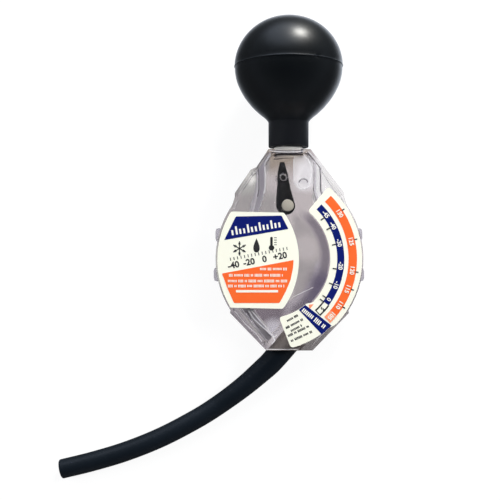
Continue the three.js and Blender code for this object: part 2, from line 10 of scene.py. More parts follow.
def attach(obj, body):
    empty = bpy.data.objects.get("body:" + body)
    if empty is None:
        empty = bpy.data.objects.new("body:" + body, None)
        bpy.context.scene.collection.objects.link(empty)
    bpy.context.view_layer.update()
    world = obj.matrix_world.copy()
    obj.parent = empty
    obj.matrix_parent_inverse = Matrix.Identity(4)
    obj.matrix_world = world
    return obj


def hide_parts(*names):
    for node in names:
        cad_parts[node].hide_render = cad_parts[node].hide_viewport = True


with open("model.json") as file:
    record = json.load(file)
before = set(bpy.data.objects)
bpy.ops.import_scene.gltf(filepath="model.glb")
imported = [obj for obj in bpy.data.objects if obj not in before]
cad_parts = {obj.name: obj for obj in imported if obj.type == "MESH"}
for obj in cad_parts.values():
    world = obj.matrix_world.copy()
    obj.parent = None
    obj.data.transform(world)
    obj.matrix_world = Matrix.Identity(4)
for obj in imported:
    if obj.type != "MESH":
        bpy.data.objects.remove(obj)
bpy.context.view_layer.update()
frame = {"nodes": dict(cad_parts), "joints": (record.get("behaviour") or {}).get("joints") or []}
nodes = frame["nodes"]
scene = bpy.context.scene
metresPerMm = 0.001


def addObject(name, data):
    piece = bpy.data.objects.new(name, data)
    scene.collection.objects.link(piece)
    return piece


# The housing's own frame: millimetres, x across, y up from its flat bottom edge, z to the viewer.
dial = {"x": -10.7, "y": 44.7, "level": 3.0}
needleJoint = next(joint for joint in frame["joints"] if joint["name"] == "needle_swing")
armJoint = next(joint for joint in frame["joints"] if joint["name"] == "balance_swing")
faceNormal = Vector(needleJoint["axis"])
faceTilt = math.atan2(-faceNormal.y, faceNormal.z)
turn = Matrix.Rotation(faceTilt, 4, "X") @ Matrix.Scale(metresPerMm, 4)
dialPlace = turn @ Vector((dial["x"], dial["y"], dial["level"]))
housingFrame = Matrix.Translation(Vector(needleJoint["pos_m"]) - dialPlace) @ turn


# Camera and stage

camera = {"x": -19.27, "y": 49.1, "height": 410, "lens": 58.97, "sensor": 36}
cameraData = bpy.data.cameras.new("camera")
cameraData.lens = camera["lens"]
cameraData.sensor_width = camera["sensor"]
cameraData.clip_start = 0.01
cameraData.clip_end = 20
cameraObject = addObject("camera", cameraData)
cameraObject.location = housingFrame @ Vector((camera["x"], camera["y"], camera["height"]))
cameraObject.rotation_euler = (faceTilt, 0, 0)
scene.camera = cameraObject
scene.view_settings.view_transform = "Standard"


def linear(hexColour):
    channels = [int(hexColour[i : i + 2], 16) / 255 for i in (1, 3, 5)]
    return [c / 12.92 if c <= 0.04045 else ((c + 0.055) / 1.055) ** 2.4 for c in channels] + [1.0]


def perMetre(mm):
    return 1 / (mm * metresPerMm)


def inMetres(lengths):
    return [mm * metresPerMm for mm in lengths]


# Adds a node. A key is a property or a socket, and a value that is a node or a socket is linked in.
def addNode(tree, kind, settings=None):
    node = tree.nodes.new(kind)
    for key, value in (settings or {}).items():
        if isinstance(value, bpy.types.Node):
            tree.links.new(value.outputs[0], node.inputs[key])
        elif isinstance(value, bpy.types.NodeSocket):
            tree.links.new(value, node.inputs[key])
        elif isinstance(key, str) and hasattr(node, key):
            setattr(node, key, value)
        else:
            node.inputs[key].default_value = value
    return node


def calculate(tree, operation, first, second=0, clamp=False):
    return addNode(tree, "ShaderNodeMath",
                   {"operation": operation, "use_clamp": clamp, 0: first, 1: second})


# A length, distance or dot product, as a number.
def measure(tree, operation, first, second=(0, 0, 0)):
    return addNode(tree, "ShaderNodeVectorMath",
                   {"operation": operation, 0: first, 1: second}).outputs["Value"]


def mapRange(tree, value, reach, levels=(0, 1), kind="SMOOTHSTEP"):
    return addNode(tree, "ShaderNodeMapRange",
                   {"interpolation_type": kind, 0: value, 1: reach[0], 2: reach[1],
                    3: levels[0], 4: levels[1]})


def mixShader(tree, share, first, second):
    return addNode(tree, "ShaderNodeMixShader", {0: share, 1: first, 2: second})


def mixColour(tree, share, first, second):
    return addNode(tree, "ShaderNodeMix",
                   {"data_type": "RGBA", 0: share, 6: first, 7: second}).outputs[2]


# An empty material with its tree and the place on the piece, which its patterns follow.
def newMaterial(name):
    material = bpy.data.materials.new(name)
    material.use_nodes = True
    tree = material.node_tree
    tree.nodes.clear()
    return material, tree, addNode(tree, "ShaderNodeTexCoord").outputs["Object"]


stage = {
    "floorSize": 6,
    "paper": "#fdfdfd",
    "glow": 1.05,
    # the share of lit paper, which takes the shadow, ends where the floor runs into the backdrop
    "shadowShare": 0.13,
    "shadowReach": (220, 600),
    # a painted reflection: for mirror rays the floor glows brighter than white close to the bulb, to
    # light its rims, and darker further off
    "mirrored": (2.2, 0.12),
    "mirroredReach": (28, 72),
    "mirroredMiddle": (11, 161),
    "mirroredColour": "#e6eefa",
}
# The sky is dimmer overhead, so that the flat clear face mirrors little of it into the camera.
light = {
    "sky": "#dde8f8",
    "horizon": 0.3,
    "zenith": 0.06,
    "falloff": 1.5,
    "middle": (0, 60),
    "lamps": {
        "left": {"aim": (-0.72, 0.15, 0.67), "distance": 1.5, "size": 0.7, "power": 9},
        "right": {"aim": (0.7, 0.25, 0.67), "distance": 1.5, "size": 0.5, "power": 14},
        "key": {"aim": (0.27, 0.89, 0.37), "distance": 1.0, "size": 0.24, "power": 9,
                "mirrored": True, "colour": "#fffdf6"},
        "glow": {"aim": (-0.1, 0.88, 0.45), "distance": 1.0, "size": 1.1, "power": 4.5,
                 "mirrored": True, "colour": "#d4dff3"},
    },
}


# White paper: what the camera and clear plastic see of it stays white and keeps the shadow.
def buildFloor():
    size = stage["floorSize"] / 2
    mesh = bpy.data.meshes.new("floor")
    corners = [(-size, -size, 0), (size, -size, 0), (size, size, 0), (-size, size, 0)]
    mesh.from_pydata(corners, [], [(0, 1, 2, 3)])
    floor = addObject("floor", mesh)
    material, tree, place = newMaterial("studioPaper")
    path = addNode(tree, "ShaderNodeLightPath").outputs
    paper = addNode(tree, "ShaderNodeBsdfDiffuse", {"Color": linear(stage["paper"])})
    glow = addNode(tree, "ShaderNodeEmission", {"Color": linear("#ffffff"), "Strength": stage["glow"]})
    share = mapRange(tree, measure(tree, "LENGTH", place), inMetres(stage["shadowReach"]),
                     (stage["shadowShare"], 0))
    seen = calculate(tree, "MAXIMUM", path["Is Camera Ray"], path["Is Transmission Ray"])
    direct = mixShader(tree, seen, paper, mixShader(tree, share, glow, paper))
    # Painted reflection: mirror rays see the floor glow, bright close to the bulb to light its rims and
    # dark further off, as in a studio with black cards round the object.
    under = housingFrame @ Vector((*stage["mirroredMiddle"], 0))
    away = measure(tree, "DISTANCE", place, (under.x, under.y, 0))
    level = mapRange(tree, away, inMetres(stage["mirroredReach"]), stage["mirrored"])
    mirroredGlow = addNode(tree, "ShaderNodeEmission",
                  {"Color": linear(stage["mirroredColour"]), "Strength": level})
    mirror = calculate(tree, "GREATER_THAN", path["Is Glossy Ray"], path["Is Transmission Ray"])
    addNode(tree, "ShaderNodeOutputMaterial", {"Surface": mixShader(tree, mirror, direct, mirroredGlow)})
    mesh.materials.append(material)


def buildSky():
    world = bpy.data.worlds.new("studio")
    scene.world = world
    world.use_nodes = True
    tree = world.node_tree
    tree.nodes.clear()
    place = addNode(tree, "ShaderNodeTexCoord").outputs["Generated"]
    height = addNode(tree, "ShaderNodeSeparateXYZ", {0: place}).outputs["Z"]
    low = calculate(tree, "SUBTRACT", 1, height, True)
    level = mapRange(tree, calculate(tree, "POWER", low, light["falloff"]), (0, 1),
                     (light["zenith"], light["horizon"]), "LINEAR")
    soft = addNode(tree, "ShaderNodeBackground", {"Color": linear(light["sky"]), "Strength": level})
    white = addNode(tree, "ShaderNodeBackground", {"Color": linear("#ffffff")})
    path = addNode(tree, "ShaderNodeLightPath").outputs
    mix = mixShader(tree, path["Is Camera Ray"], soft, white)
    addNode(tree, "ShaderNodeOutputWorld", {"Surface": mix})


def buildLamps():
    middle = housingFrame @ Vector((*light["middle"], 0))
    for name, lamp in light["lamps"].items():
        data = bpy.data.lights.new(name, "AREA")
        data.color = linear(lamp.get("colour", "#ffffff"))[:3]
        data.shape = "DISK"
        data.size = lamp["size"]
        data.energy = lamp["power"]
        direction = Vector(lamp["aim"]).normalized()
        source = addObject(name, data)
        source.location = middle + direction * lamp["distance"]
        source.rotation_euler = direction.to_track_quat("Z", "Y").to_euler()
        source.visible_glossy = lamp.get("mirrored", False)


buildFloor()
buildSky()
buildLamps()
print("stage, camera and lights ready")


# Materials

# Each texture: the noise's size in millimetres, detail and roughness; where it is a bump, also its
# strength and depth in millimetres. The grain's size and depth are each material's own.
texture = {
    "ripple": (9, 2, 0.4, 0.12, 0.4),
    "grain": (2, 0.5, 0.5),
    "dusting": (14, 3, 0.5),
    "wear": (6, 4, 0.5),
    "orangePeel": (0.9, 1, 0.5, 0.15, 0.03),
}
# how far roughness goes below and above its mean
unevenRubber = (0.05, 0.07)
unevenMetal = (0.05, 0.08)
# how much finer a wave texture's lines are than its scale says
waveFineness = 20
# The masks over the housing are measured at this level of its own frame.
maskLevel = -9


# 0 at the start and 1 at the end of a line across the housing, in its own millimetres.
def maskAlong(tree, place, start, end):
    a, b = (housingFrame @ Vector((*point, maskLevel)) for point in (start, end))
    way = (b - a) / (b - a).length_squared
    return mapRange(tree, measure(tree, "DOT_PRODUCT", place, way), (a.dot(way), b.dot(way)))


# 0 at the near and 1 at the far distance from a centre; near may be the larger one.
def maskRound(tree, place, centre, near, far):
    reach = measure(tree, "DISTANCE", place, housingFrame @ Vector((*centre, maskLevel)))
    levels = (0, 1) if near < far else (1, 0)
    return mapRange(tree, reach, inMetres(sorted((near, far))), levels)


def cloud(tree, place, mm, detail, roughness):
    return addNode(tree, "ShaderNodeTexNoise",
                   {"Scale": perMetre(mm), "Detail": detail, "Roughness": roughness,
                    "Vector": place}).outputs["Fac"]


def bump(tree, place, mm, detail, roughness, strength, depthMm):
    return addNode(tree, "ShaderNodeBump",
                   {"Strength": strength, "Distance": depthMm * metresPerMm,
                    "Height": cloud(tree, place, mm, detail, roughness)})


def uneven(tree, pattern, roughness, spread):
    return mapRange(tree, pattern, (0, 1), (roughness - spread[0], roughness + spread[1]), "LINEAR")


def setSurface(tree, settings):
    skin = addNode(tree, "ShaderNodeBsdfPrincipled", settings)
    addNode(tree, "ShaderNodeOutputMaterial", {"Surface": skin})


# Clear polystyrene, injection moulded: glossy, faintly smoky, slightly hazy, with a shallow ripple.
# Each zone is painted shade or a painted highlight: a tint, a share of haze and the masks that bound
# it.
def clearPolystyrene(name, tint, haze, hazeShare, roughness, paintedZones=()):
    material, tree, place = newMaterial(name)
    colour = linear(tint)
    for paintedTint, paintedHaze, masks in paintedZones:
        inside = None
        for make, *values in masks:
            mask = make(tree, place, *values)
            inside = mask if inside is None else calculate(tree, "MULTIPLY", inside, mask)
        colour = mixColour(tree, inside, colour, linear(paintedTint))
        hazeShare = addNode(tree, "ShaderNodeMix",
                            {"data_type": "FLOAT", 0: inside, 2: hazeShare, 3: paintedHaze})
    clear = addNode(tree, "ShaderNodeBsdfPrincipled",
                    {"Base Color": colour, "Roughness": roughness, "IOR": 1.49,
                     "Transmission Weight": 1.0, "Normal": bump(tree, place, *texture["ripple"])})
    milk = addNode(tree, "ShaderNodeBsdfDiffuse", {"Color": linear(haze)})
    hazy = mixShader(tree, hazeShare, clear, milk)
    # Light goes straight through to what lies behind.
    through = addNode(tree, "ShaderNodeBsdfTransparent", {"Color": colour})
    path = addNode(tree, "ShaderNodeLightPath").outputs
    lit = calculate(tree, "MAXIMUM", path["Is Shadow Ray"], path["Is Diffuse Ray"])
    addNode(tree, "ShaderNodeOutputMaterial", {"Surface": mixShader(tree, lit, hazy, through)})
    return material


# Soft PVC and rubber, moulded: satin, with fine skin texture and slight dusting.
def mouldedRubber(name, base, dust, roughness, grainMm, grainDepthMm, shine=0.5):
    material, tree, place = newMaterial(name)
    dusting = cloud(tree, place, *texture["dusting"])
    setSurface(tree, {"Base Color": mixColour(tree, dusting, linear(base), linear(dust)),
                      "Roughness": uneven(tree, dusting, roughness, unevenRubber),
                      "IOR": 1.5, "Specular IOR Level": shine,
                      "Normal": bump(tree, place, grainMm, *texture["grain"], grainDepthMm)})
    return material


# Moulded solid plastic: even colour with faint flow clouds and a fine spark-eroded tool texture.
def mouldedPlastic(name, base, cloudTone, roughness):
    return mouldedRubber(name, base, cloudTone, roughness, 0.35, 0.01)


# Metal, turned or drawn: fine lines round its axis.
def workedMetal(name, base, darker, roughness, lineMm):
    material, tree, place = newMaterial(name)
    lines = addNode(tree, "ShaderNodeTexWave",
                    {"wave_type": "RINGS", "Scale": perMetre(lineMm) / waveFineness,
                     "Distortion": 1.5, "Vector": place}).outputs["Fac"]
    setSurface(tree, {"Base Color": mixColour(tree, lines, linear(base), linear(darker)),
                      "Roughness": uneven(tree, lines, roughness, unevenMetal), "Metallic": 1.0})
    return material


# Screen-printed vinyl: flat colour with a slight orange-peel sheen.
def printedVinyl(name, ink, rubbed):
    material, tree, place = newMaterial(name)
    wear = cloud(tree, place, *texture["wear"])
    setSurface(tree, {"Base Color": mixColour(tree, wear, linear(ink), linear(rubbed)),
                      "Roughness": 0.42, "IOR": 1.5, "Specular IOR Level": 0.2,
                      "Normal": bump(tree, place, *texture["orangePeel"])})
    return material


dialCentre = (dial["x"], dial["y"])
# Painted shade and painted highlights on the back shell, each a tint, a share of haze and its masks.
paintedShadeAndHighlightZones = [
    # painted shade: a greyer left shoulder and side
    ("#d3d4cf", 0.1, [(maskAlong, (-10, 80), (-14, 80))]),
    # painted shade in the corner left of the neck
    ("#b6b3b3", 0.1, [(maskAlong, (0, 87), (0, 90.5)), (maskAlong, (-7.8, 90), (-9.8, 92))]),
    # a painted highlight high on the left shoulder
    ("#fffefa", 0.02, [(maskRound, (-17.9, 85.2), 4.5, 1)]),
    # a warm grey-beige tint below the neck, fading downwards
    ("#bdb0a3", 0.12, [(maskAlong, (0, 84), (0, 93)), (maskAlong, (11, 80), (7, 80)),
                       (maskAlong, (-11.5, 80), (-8.5, 80))]),
    # painted shade outside the chamber's lower left wall
    ("#b3adb3", 0.1, [(maskAlong, (-15.5, 11), (-17, 9.7)), (maskAlong, (0, 30), (0, 24))]),
    # a painted highlight: the window is brightest in its middle
    ("#c5bfc0", 0.1, [(maskRound, (9.4, 50), 3, 11), (maskRound, dialCentre, 28, 25.5),
                      (maskAlong, (1, 50), (4.5, 50))]),
    # painted shading on the dial's dish: its paler edge at the lower right, then its darker sloping
    # wall
    ("#c9c2ca", 0.1, [(maskRound, dialCentre, 24.4, 25.1), (maskAlong, (2, 33), (5, 30)),
                      (maskRound, dialCentre, 32.5, 31.5)]),
    ("#968e98", 0.08, [(maskRound, dialCentre, 25.5, 29.5), (maskAlong, (-2, 60), (4, 60)),
                       (maskRound, dialCentre, 32.5, 31.5), (maskAlong, (3, 70), (9, 62))]),
    # painted shade on the chamber's floor below the left label
    ("#8b818b", 0.1, [(maskAlong, (-8.2, 6.5), (-10.7, 15)), (maskAlong, (2, 20), (-5, 20)),
                      (maskAlong, (0, 34), (0, 28)), (maskAlong, (-19.2, 13), (-17, 15))]),
    ("#756c83", 0.08, [(maskAlong, (5, 28), (15, 26)), (maskAlong, (0, 42), (0, 33)),
                       (maskRound, dialCentre, 32.5, 31.5)]),
    # a painted highlight over the socket's mouth
    ("#dad7e0", 0.06, [(maskRound, (-7, 8.6), 7.5, 1.5)]),
    # painted shade in the lower right corner and along the edge outside the curved label
    ("#b6b0ae", 0.1, [(maskAlong, (0, 15), (0, 8)), (maskAlong, (-2, 5), (3, 5))]),
    ("#8d8a89", 0.1, [(maskRound, dialCentre, 44.5, 46.5), (maskAlong, (20, 42), (20, 32))]),
    # a patch of painted shade beside the arm, above the left label
    ("#bfbbba", 0.1, [(maskAlong, (0, 82), (0, 75)), (maskAlong, (-3, 70), (-6.5, 70)),
                      (maskAlong, (0, 50), (0, 60))]),
    # painted light behind the lobe and the right wall
    ("#fbf8fc", 0.04, [(maskAlong, (2.5, 80), (8, 80)), (maskAlong, (0, 78), (0, 82.5)),
                       (maskAlong, (0, 96), (0, 89))]),
    # painted light on the right shoulder, outside the chamber
    ("#ffffff", 0.0, [(maskAlong, (12, 60), (13.6, 60)), (maskRound, dialCentre, 31, 33),
                      (maskAlong, (20, 63), (20, 70))]),
]
finish = {
    "clearFront": clearPolystyrene("clearPolystyreneFront", "#f6f4f5", "#b5b1b4", 0.004, 0.03),
    "clearBack": clearPolystyrene("clearPolystyreneBackWithPaintedShading", "#e3dcdc", "#d2cdd0", 0.12, 0.1, paintedShadeAndHighlightZones),
    "frosted": clearPolystyrene("frostedPolystyrene", "#ffffff", "#ffffff", 0.25, 0.3),
    # The shells' bonded joint in two copies: a shaded one, grey and hazy, for the upper left, and a lit
    # one, clear and white, elsewhere.
    "jointShaded": clearPolystyrene("bondedPolystyreneShaded", "#e6e3e4", "#b6b3b8", 0.6, 0.4),
    "jointLit": clearPolystyrene("bondedPolystyreneLit", "#ffffff", "#ffffff", 0.1, 0.12),
    "weldedEdge": mouldedRubber("weldedPolystyreneEdge", "#e9e6dd", "#f6f3ec", 0.35, 0.4, 0.01),
    # Thin lines of painted highlight and of painted shade along edges.
    "paintedHighlightEdge": clearPolystyrene("cutPolystyreneLit", "#ffffff", "#ffffff", 0.6, 0.2),
    "paintedShadeEdge": clearPolystyrene("cutPolystyreneShaded", "#9a969f", "#6d6a72", 0.5, 0.2),
    "clearEdge": clearPolystyrene("clearPolystyreneSide", "#dedae0", "#a8a3ab", 0.2, 0.12),
    "lugs": clearPolystyrene("clearPolystyreneLugs", "#d6d2da", "#bfbbc4", 0.3, 0.15),
    "clearSeal": clearPolystyrene("clearSiliconeSeal", "#f6f4f8", "#e6e3ea", 0.1, 0.15),
    "socketBore": mouldedRubber("darkPolystyreneBore", "#5e5853", "#8a837e", 0.5, 1.1, 0.15),
    "warmGreyAbs": mouldedRubber("warmGreyAbs", "#bdb3a4", "#cac0b1", 0.4, 0.4, 0.01),
    "sealRubber": mouldedRubber("greySealingRubber", "#d2cfd9", "#dcd9e2", 0.5, 0.4, 0.01),
    "bulbPvc": mouldedRubber("mouldedSoftPvc", "#07090b", "#0b0f12", 0.34, 0.5, 0.008),
    "neckSheenPvc": mouldedRubber("mattSoftPvcPaintedSheen", "#141518", "#1b1c20", 0.5, 0.5, 0.01),
    "seamHighlightPvc": mouldedRubber("softPvcPaintedSeamHighlight", "#1e2226", "#2c3136", 0.4, 0.5, 0.01),
    "hoseRubber": mouldedRubber("extrudedNitrileRubber", "#0d1319", "#151c24", 0.38, 0.6, 0.012, 0.34),
    "washerRubber": mouldedRubber("dieCutNitrileRubber", "#1d1712", "#2a2119", 0.6, 0.3, 0.02),
    "whiteAbs": mouldedPlastic("mouldedWhiteAbs", "#eceae6", "#e2dfd9", 0.3),
    "blackAcetal": mouldedPlastic("mouldedBlackAcetal", "#070707", "#0d0d0c", 0.36),
    "paleAcetal": mouldedPlastic("mouldedPaleAcetal", "#b9b7a6", "#c9c7b8", 0.45),
    "creamAcetal": mouldedPlastic("mouldedCreamAcetal", "#e9e4d3", "#ded8c4", 0.45),
    "greyAbs": mouldedPlastic("mouldedGreyAbs", "#a3a2a1", "#adacab", 0.4),
    "darkAbs": mouldedPlastic("mouldedDarkAbs", "#343437", "#403f43", 0.42),
    "drawnSteel": workedMetal("drawnSteelWire", "#c9c9cc", "#a9a9ad", 0.25, 0.4),
    "turnedBrass": workedMetal("turnedBrass", "#c2a35c", "#9c8044", 0.3, 0.4),
    "creamVinyl": printedVinyl("printedCreamVinyl", "#ffffef", "#fffdeb"),
    "navyInk": printedVinyl("navyInkOnVinyl", "#0d1b68", "#121f70"),
    "orangeInk": printedVinyl("orangeInkOnVinyl", "#ff6a2e", "#ff7238"),
    "paleOrangeInk": printedVinyl("paleOrangeInkOnVinyl", "#ff9a70", "#ffa47e"),
    "blackInk": printedVinyl("blackInkOnVinyl", "#2a2a2c", "#38383a"),
    "whiteInk": printedVinyl("whiteInkOnVinyl", "#fffdf2", "#f6f3e6"),
}
print("materials ready")


# Mesh helpers

def meshObject(name, vertices, faces, material, smooth=True):
    mesh = bpy.data.meshes.new(name)
    mesh.from_pydata([tuple(v) for v in vertices], [], faces)
    return dress(addObject(name, mesh), material, smooth)


def dress(piece, material, smooth=True):
    piece.data.materials.clear()
    piece.data.materials.append(material)
    for face in piece.data.polygons:
        face.use_smooth = smooth
        face.material_index = 0
    return piece


# The distance is in the unit of the piece, which is millimetres until it is put into the housing.
def cleanUp(piece, mergeWithin=0.001):
    shape = bmesh.new()
    shape.from_mesh(piece.data)
    bmesh.ops.remove_doubles(shape, verts=shape.verts, dist=mergeWithin)
    bmesh.ops.recalc_face_normals(shape, faces=shape.faces)
    shape.to_mesh(piece.data)
    shape.free()
    return piece


def intoHousing(piece):
    piece.data.transform(housingFrame)
    return piece


def evaluatedMesh(piece):
    graph = bpy.context.evaluated_depsgraph_get()
    return bpy.data.meshes.new_from_object(piece.evaluated_get(graph))


def applyModifiers(piece):
    mesh = evaluatedMesh(piece)
    old = piece.data
    piece.modifiers.clear()
    piece.data = mesh
    bpy.data.meshes.remove(old)
    return piece


def keepSharp(piece, angle=35):
    piece.data.set_sharp_from_angle(angle=math.radians(angle))
    return piece


# How CAD solids are finished: faces that lie this flat become one, and edges sharper than this
# angle are rounded.
cadFinish = {"mergeWithin": 0.000002, "flatWithin": 1, "roundFrom": 30, "segments": 2}


# A finished copy of a CAD solid: merged, its flat areas made whole, its edges rounded.
def finishedCopy(node, name, material, edgeMm):
    piece = addObject(name, nodes[node].data.copy())
    shape = bmesh.new()
    shape.from_mesh(piece.data)
    bmesh.ops.remove_doubles(shape, verts=shape.verts, dist=cadFinish["mergeWithin"])
    bmesh.ops.dissolve_limit(shape, angle_limit=math.radians(cadFinish["flatWithin"]),
                             verts=shape.verts, edges=shape.edges)
    shape.to_mesh(piece.data)
    shape.free()
    dress(piece, material)
    bevel = piece.modifiers.new("softEdge", "BEVEL")
    bevel.width = edgeMm * metresPerMm
    bevel.segments = cadFinish["segments"]
    bevel.limit_method = "ANGLE"
    bevel.angle_limit = math.radians(cadFinish["roundFrom"])
    bevel.harden_normals = False
    return keepSharp(applyModifiers(piece))


# The faces between neighbouring loops of points, each loop closed on itself.
def facesBetween(loops, count):
    return [(i * count + k, i * count + (k + 1) % count, j * count + (k + 1) % count, j * count + k)
            for i, j in loops for k in range(count)]


# Turns pairs of radius and height about the neck's axis into a closed body.
def turned(name, pairs, material, sides=96):
    vertices = []
    for i in range(sides):
        angle = 2 * math.pi * i / sides
        vertices += [(r * math.cos(angle), h, r * math.sin(angle)) for r, h in pairs]
    loops = [(i, (i + 1) % sides) for i in range(sides)]
    return cleanUp(meshObject(name, vertices, facesBetween(loops, len(pairs)), material))


def arc(x, y, radius, start, end, steps):
    spread = [math.radians(start + (end - start) * i / steps) for i in range(steps + 1)]
    return [(x + radius * math.cos(a), y + radius * math.sin(a)) for a in spread]


# Rounds the corners of an outline with small curves.
def roundCorners(points, radius, steps=5):
    result = []
    corners = [Vector(p) for p in points]
    for i, corner in enumerate(corners):
        before = corners[i - 1] - corner
        after = corners[(i + 1) % len(corners)] - corner
        reach = min(radius, before.length / 2, after.length / 2)
        start = corner + before.normalized() * reach
        end = corner + after.normalized() * reach
        for k in range(steps + 1):
            t = k / steps
            result.append(tuple(start * (1 - t) ** 2 + corner * 2 * t * (1 - t) + end * t**2))
    return result


# A flat film between two levels, with an outline of its own.
def film(name, outline, low, high, material):
    count = len(outline)
    flat = [Vector((x, y, 0)) for x, y in outline]
    caps = tessellate_polygon([flat])
    vertices = [(x, y, low) for x, y in outline] + [(x, y, high) for x, y in outline]
    faces = [tuple(c) for c in caps] + [tuple(k + count for k in c) for c in caps]
    faces += [(i, (i + 1) % count, count + (i + 1) % count, count + i) for i in range(count)]
    return cleanUp(meshObject(name, vertices, faces, material, smooth=False))


# Gives one more material to the faces whose middle and normal, in the housing's own frame, pass
# a test.
def paintWhere(piece, material, test):
    piece.data.materials.append(material)
    index = len(piece.data.materials) - 1
    back = housingFrame.inverted()
    turnBack = back.to_3x3() * metresPerMm
    for face in piece.data.polygons:
        if test(back @ face.center, turnBack @ face.normal):
            face.material_index = index
    return piece


def joined(name, pieces):
    shape = bmesh.new()
    for piece in pieces:
        shape.from_mesh(piece.data)
    mesh = bpy.data.meshes.new(name)
    shape.to_mesh(mesh)
    shape.free()
    mesh.materials.append(pieces[0].data.materials[0])
    for piece in pieces:
        bpy.data.objects.remove(piece)
    return addObject(name, mesh)


def settle(piece, body, replaced=()):
    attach(piece, body)
    for node in replaced:
        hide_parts(node)
    return piece


# The picture's frame: its middle pixel, and what a pixel spans at one level.
view = {"middle": 250, "mmPerPixel": 0.4878, "level": 10.5}


# A place in the housing's own millimetres, at a level, from a pixel of the picture's frame.
def onFace(px, py, level=view["level"]):
    mm = view["mmPerPixel"] * (camera["height"] - level) / (camera["height"] - view["level"])
    return (px - view["middle"]) * mm + camera["x"], (view["middle"] - py) * mm + camera["y"]


# Hose

hose = {
    "route": [
        (3.13, -74.94, 10.76), (0.23, -78.37, 10.34), (-2.66, -81.79, 9.93), (-6.2, -85.97, 9.4),
        (-9.4, -89.5, 8.75), (-12.8, -92.6, 7.9), (-20.5, -99.3, 6.6), (-26.9, -104.3, 5.8),
        (-33.3, -108.9, 5.3), (-40.7, -113.8, 5.05), (-48.3, -118.2, 5.05), (-63.4, -125.9, 5.05),
        (-80.8, -132.8, 5.05), (-98, -137.9, 5.05), (-113.4, -141.6, 5.05),
    ],
    "exit": 2,
    "nominalDiameter": 10,
    # pairs of share of the way from the exit to the end and radius there
    "radii": [(0, 6.0), (0.1, 5.7), (0.2, 5.3), (0.3, 5.0), (0.4, 4.9), (1, 4.75)],
    "restRadius": 5,
    "bore": 3.1,
    "boreDepth": 14,
    "rimRound": 0.7,
    "sides": 48,
    "spacing": 0.8,
    # steps along a span of the route, round the rim's outer and inner edge and down the bore
    "spanSteps": 24,
    "rimSteps": (4, 3),
    "boreSteps": 5,
    "pathEvery": 4,
    "mergeWithin": 0.0000005,
}


# Even points along a smooth curve through the route, and its length, in millimetres.
def evenRoute(points, spacing):
    corners = [Vector(p) for p in points]
    padded = [2 * corners[0] - corners[1]] + corners + [2 * corners[-1] - corners[-2]]
    dense = []
    for i in range(1, len(padded) - 2):
        a, b, c, d = padded[i - 1 : i + 3]
        knots = [0]
        for p, q in ((a, b), (b, c), (c, d)):
            knots.append(knots[-1] + math.sqrt((q - p).length))
        for step in range(hose["spanSteps"]):
            t = knots[1] + (knots[2] - knots[1]) * step / hose["spanSteps"]
            ab = a.lerp(b, (t - knots[0]) / (knots[1] - knots[0]))
            bc = b.lerp(c, (t - knots[1]) / (knots[2] - knots[1]))
            cd = c.lerp(d, (t - knots[2]) / (knots[3] - knots[2]))
            low = ab.lerp(bc, (t - knots[0]) / (knots[2] - knots[0]))
            high = bc.lerp(cd, (t - knots[1]) / (knots[3] - knots[1]))
            dense.append(low.lerp(high, (t - knots[1]) / (knots[2] - knots[1])))
    dense.append(corners[-1])
    lengths = [0]
    for p, q in zip(dense, dense[1:]):
        lengths.append(lengths[-1] + (q - p).length)
    count = round(lengths[-1] / spacing)
    even = []
    k = 0
    for i in range(count + 1):
        target = lengths[-1] * i / count
        while k < len(dense) - 2 and lengths[k + 1] < target:
            k += 1
        share = (target - lengths[k]) / (lengths[k + 1] - lengths[k])
        even.append(dense[k].lerp(dense[k + 1], share))
    return even, lengths[-1]


# The value at a share of the way, from a list of pairs of share and value.
def between(pairs, share):
    for (a, low), (b, high) in zip(pairs, pairs[1:]):
        if share < b:
            return low + (high - low) * max(0, share - a) / (b - a)
    return pairs[-1][1]


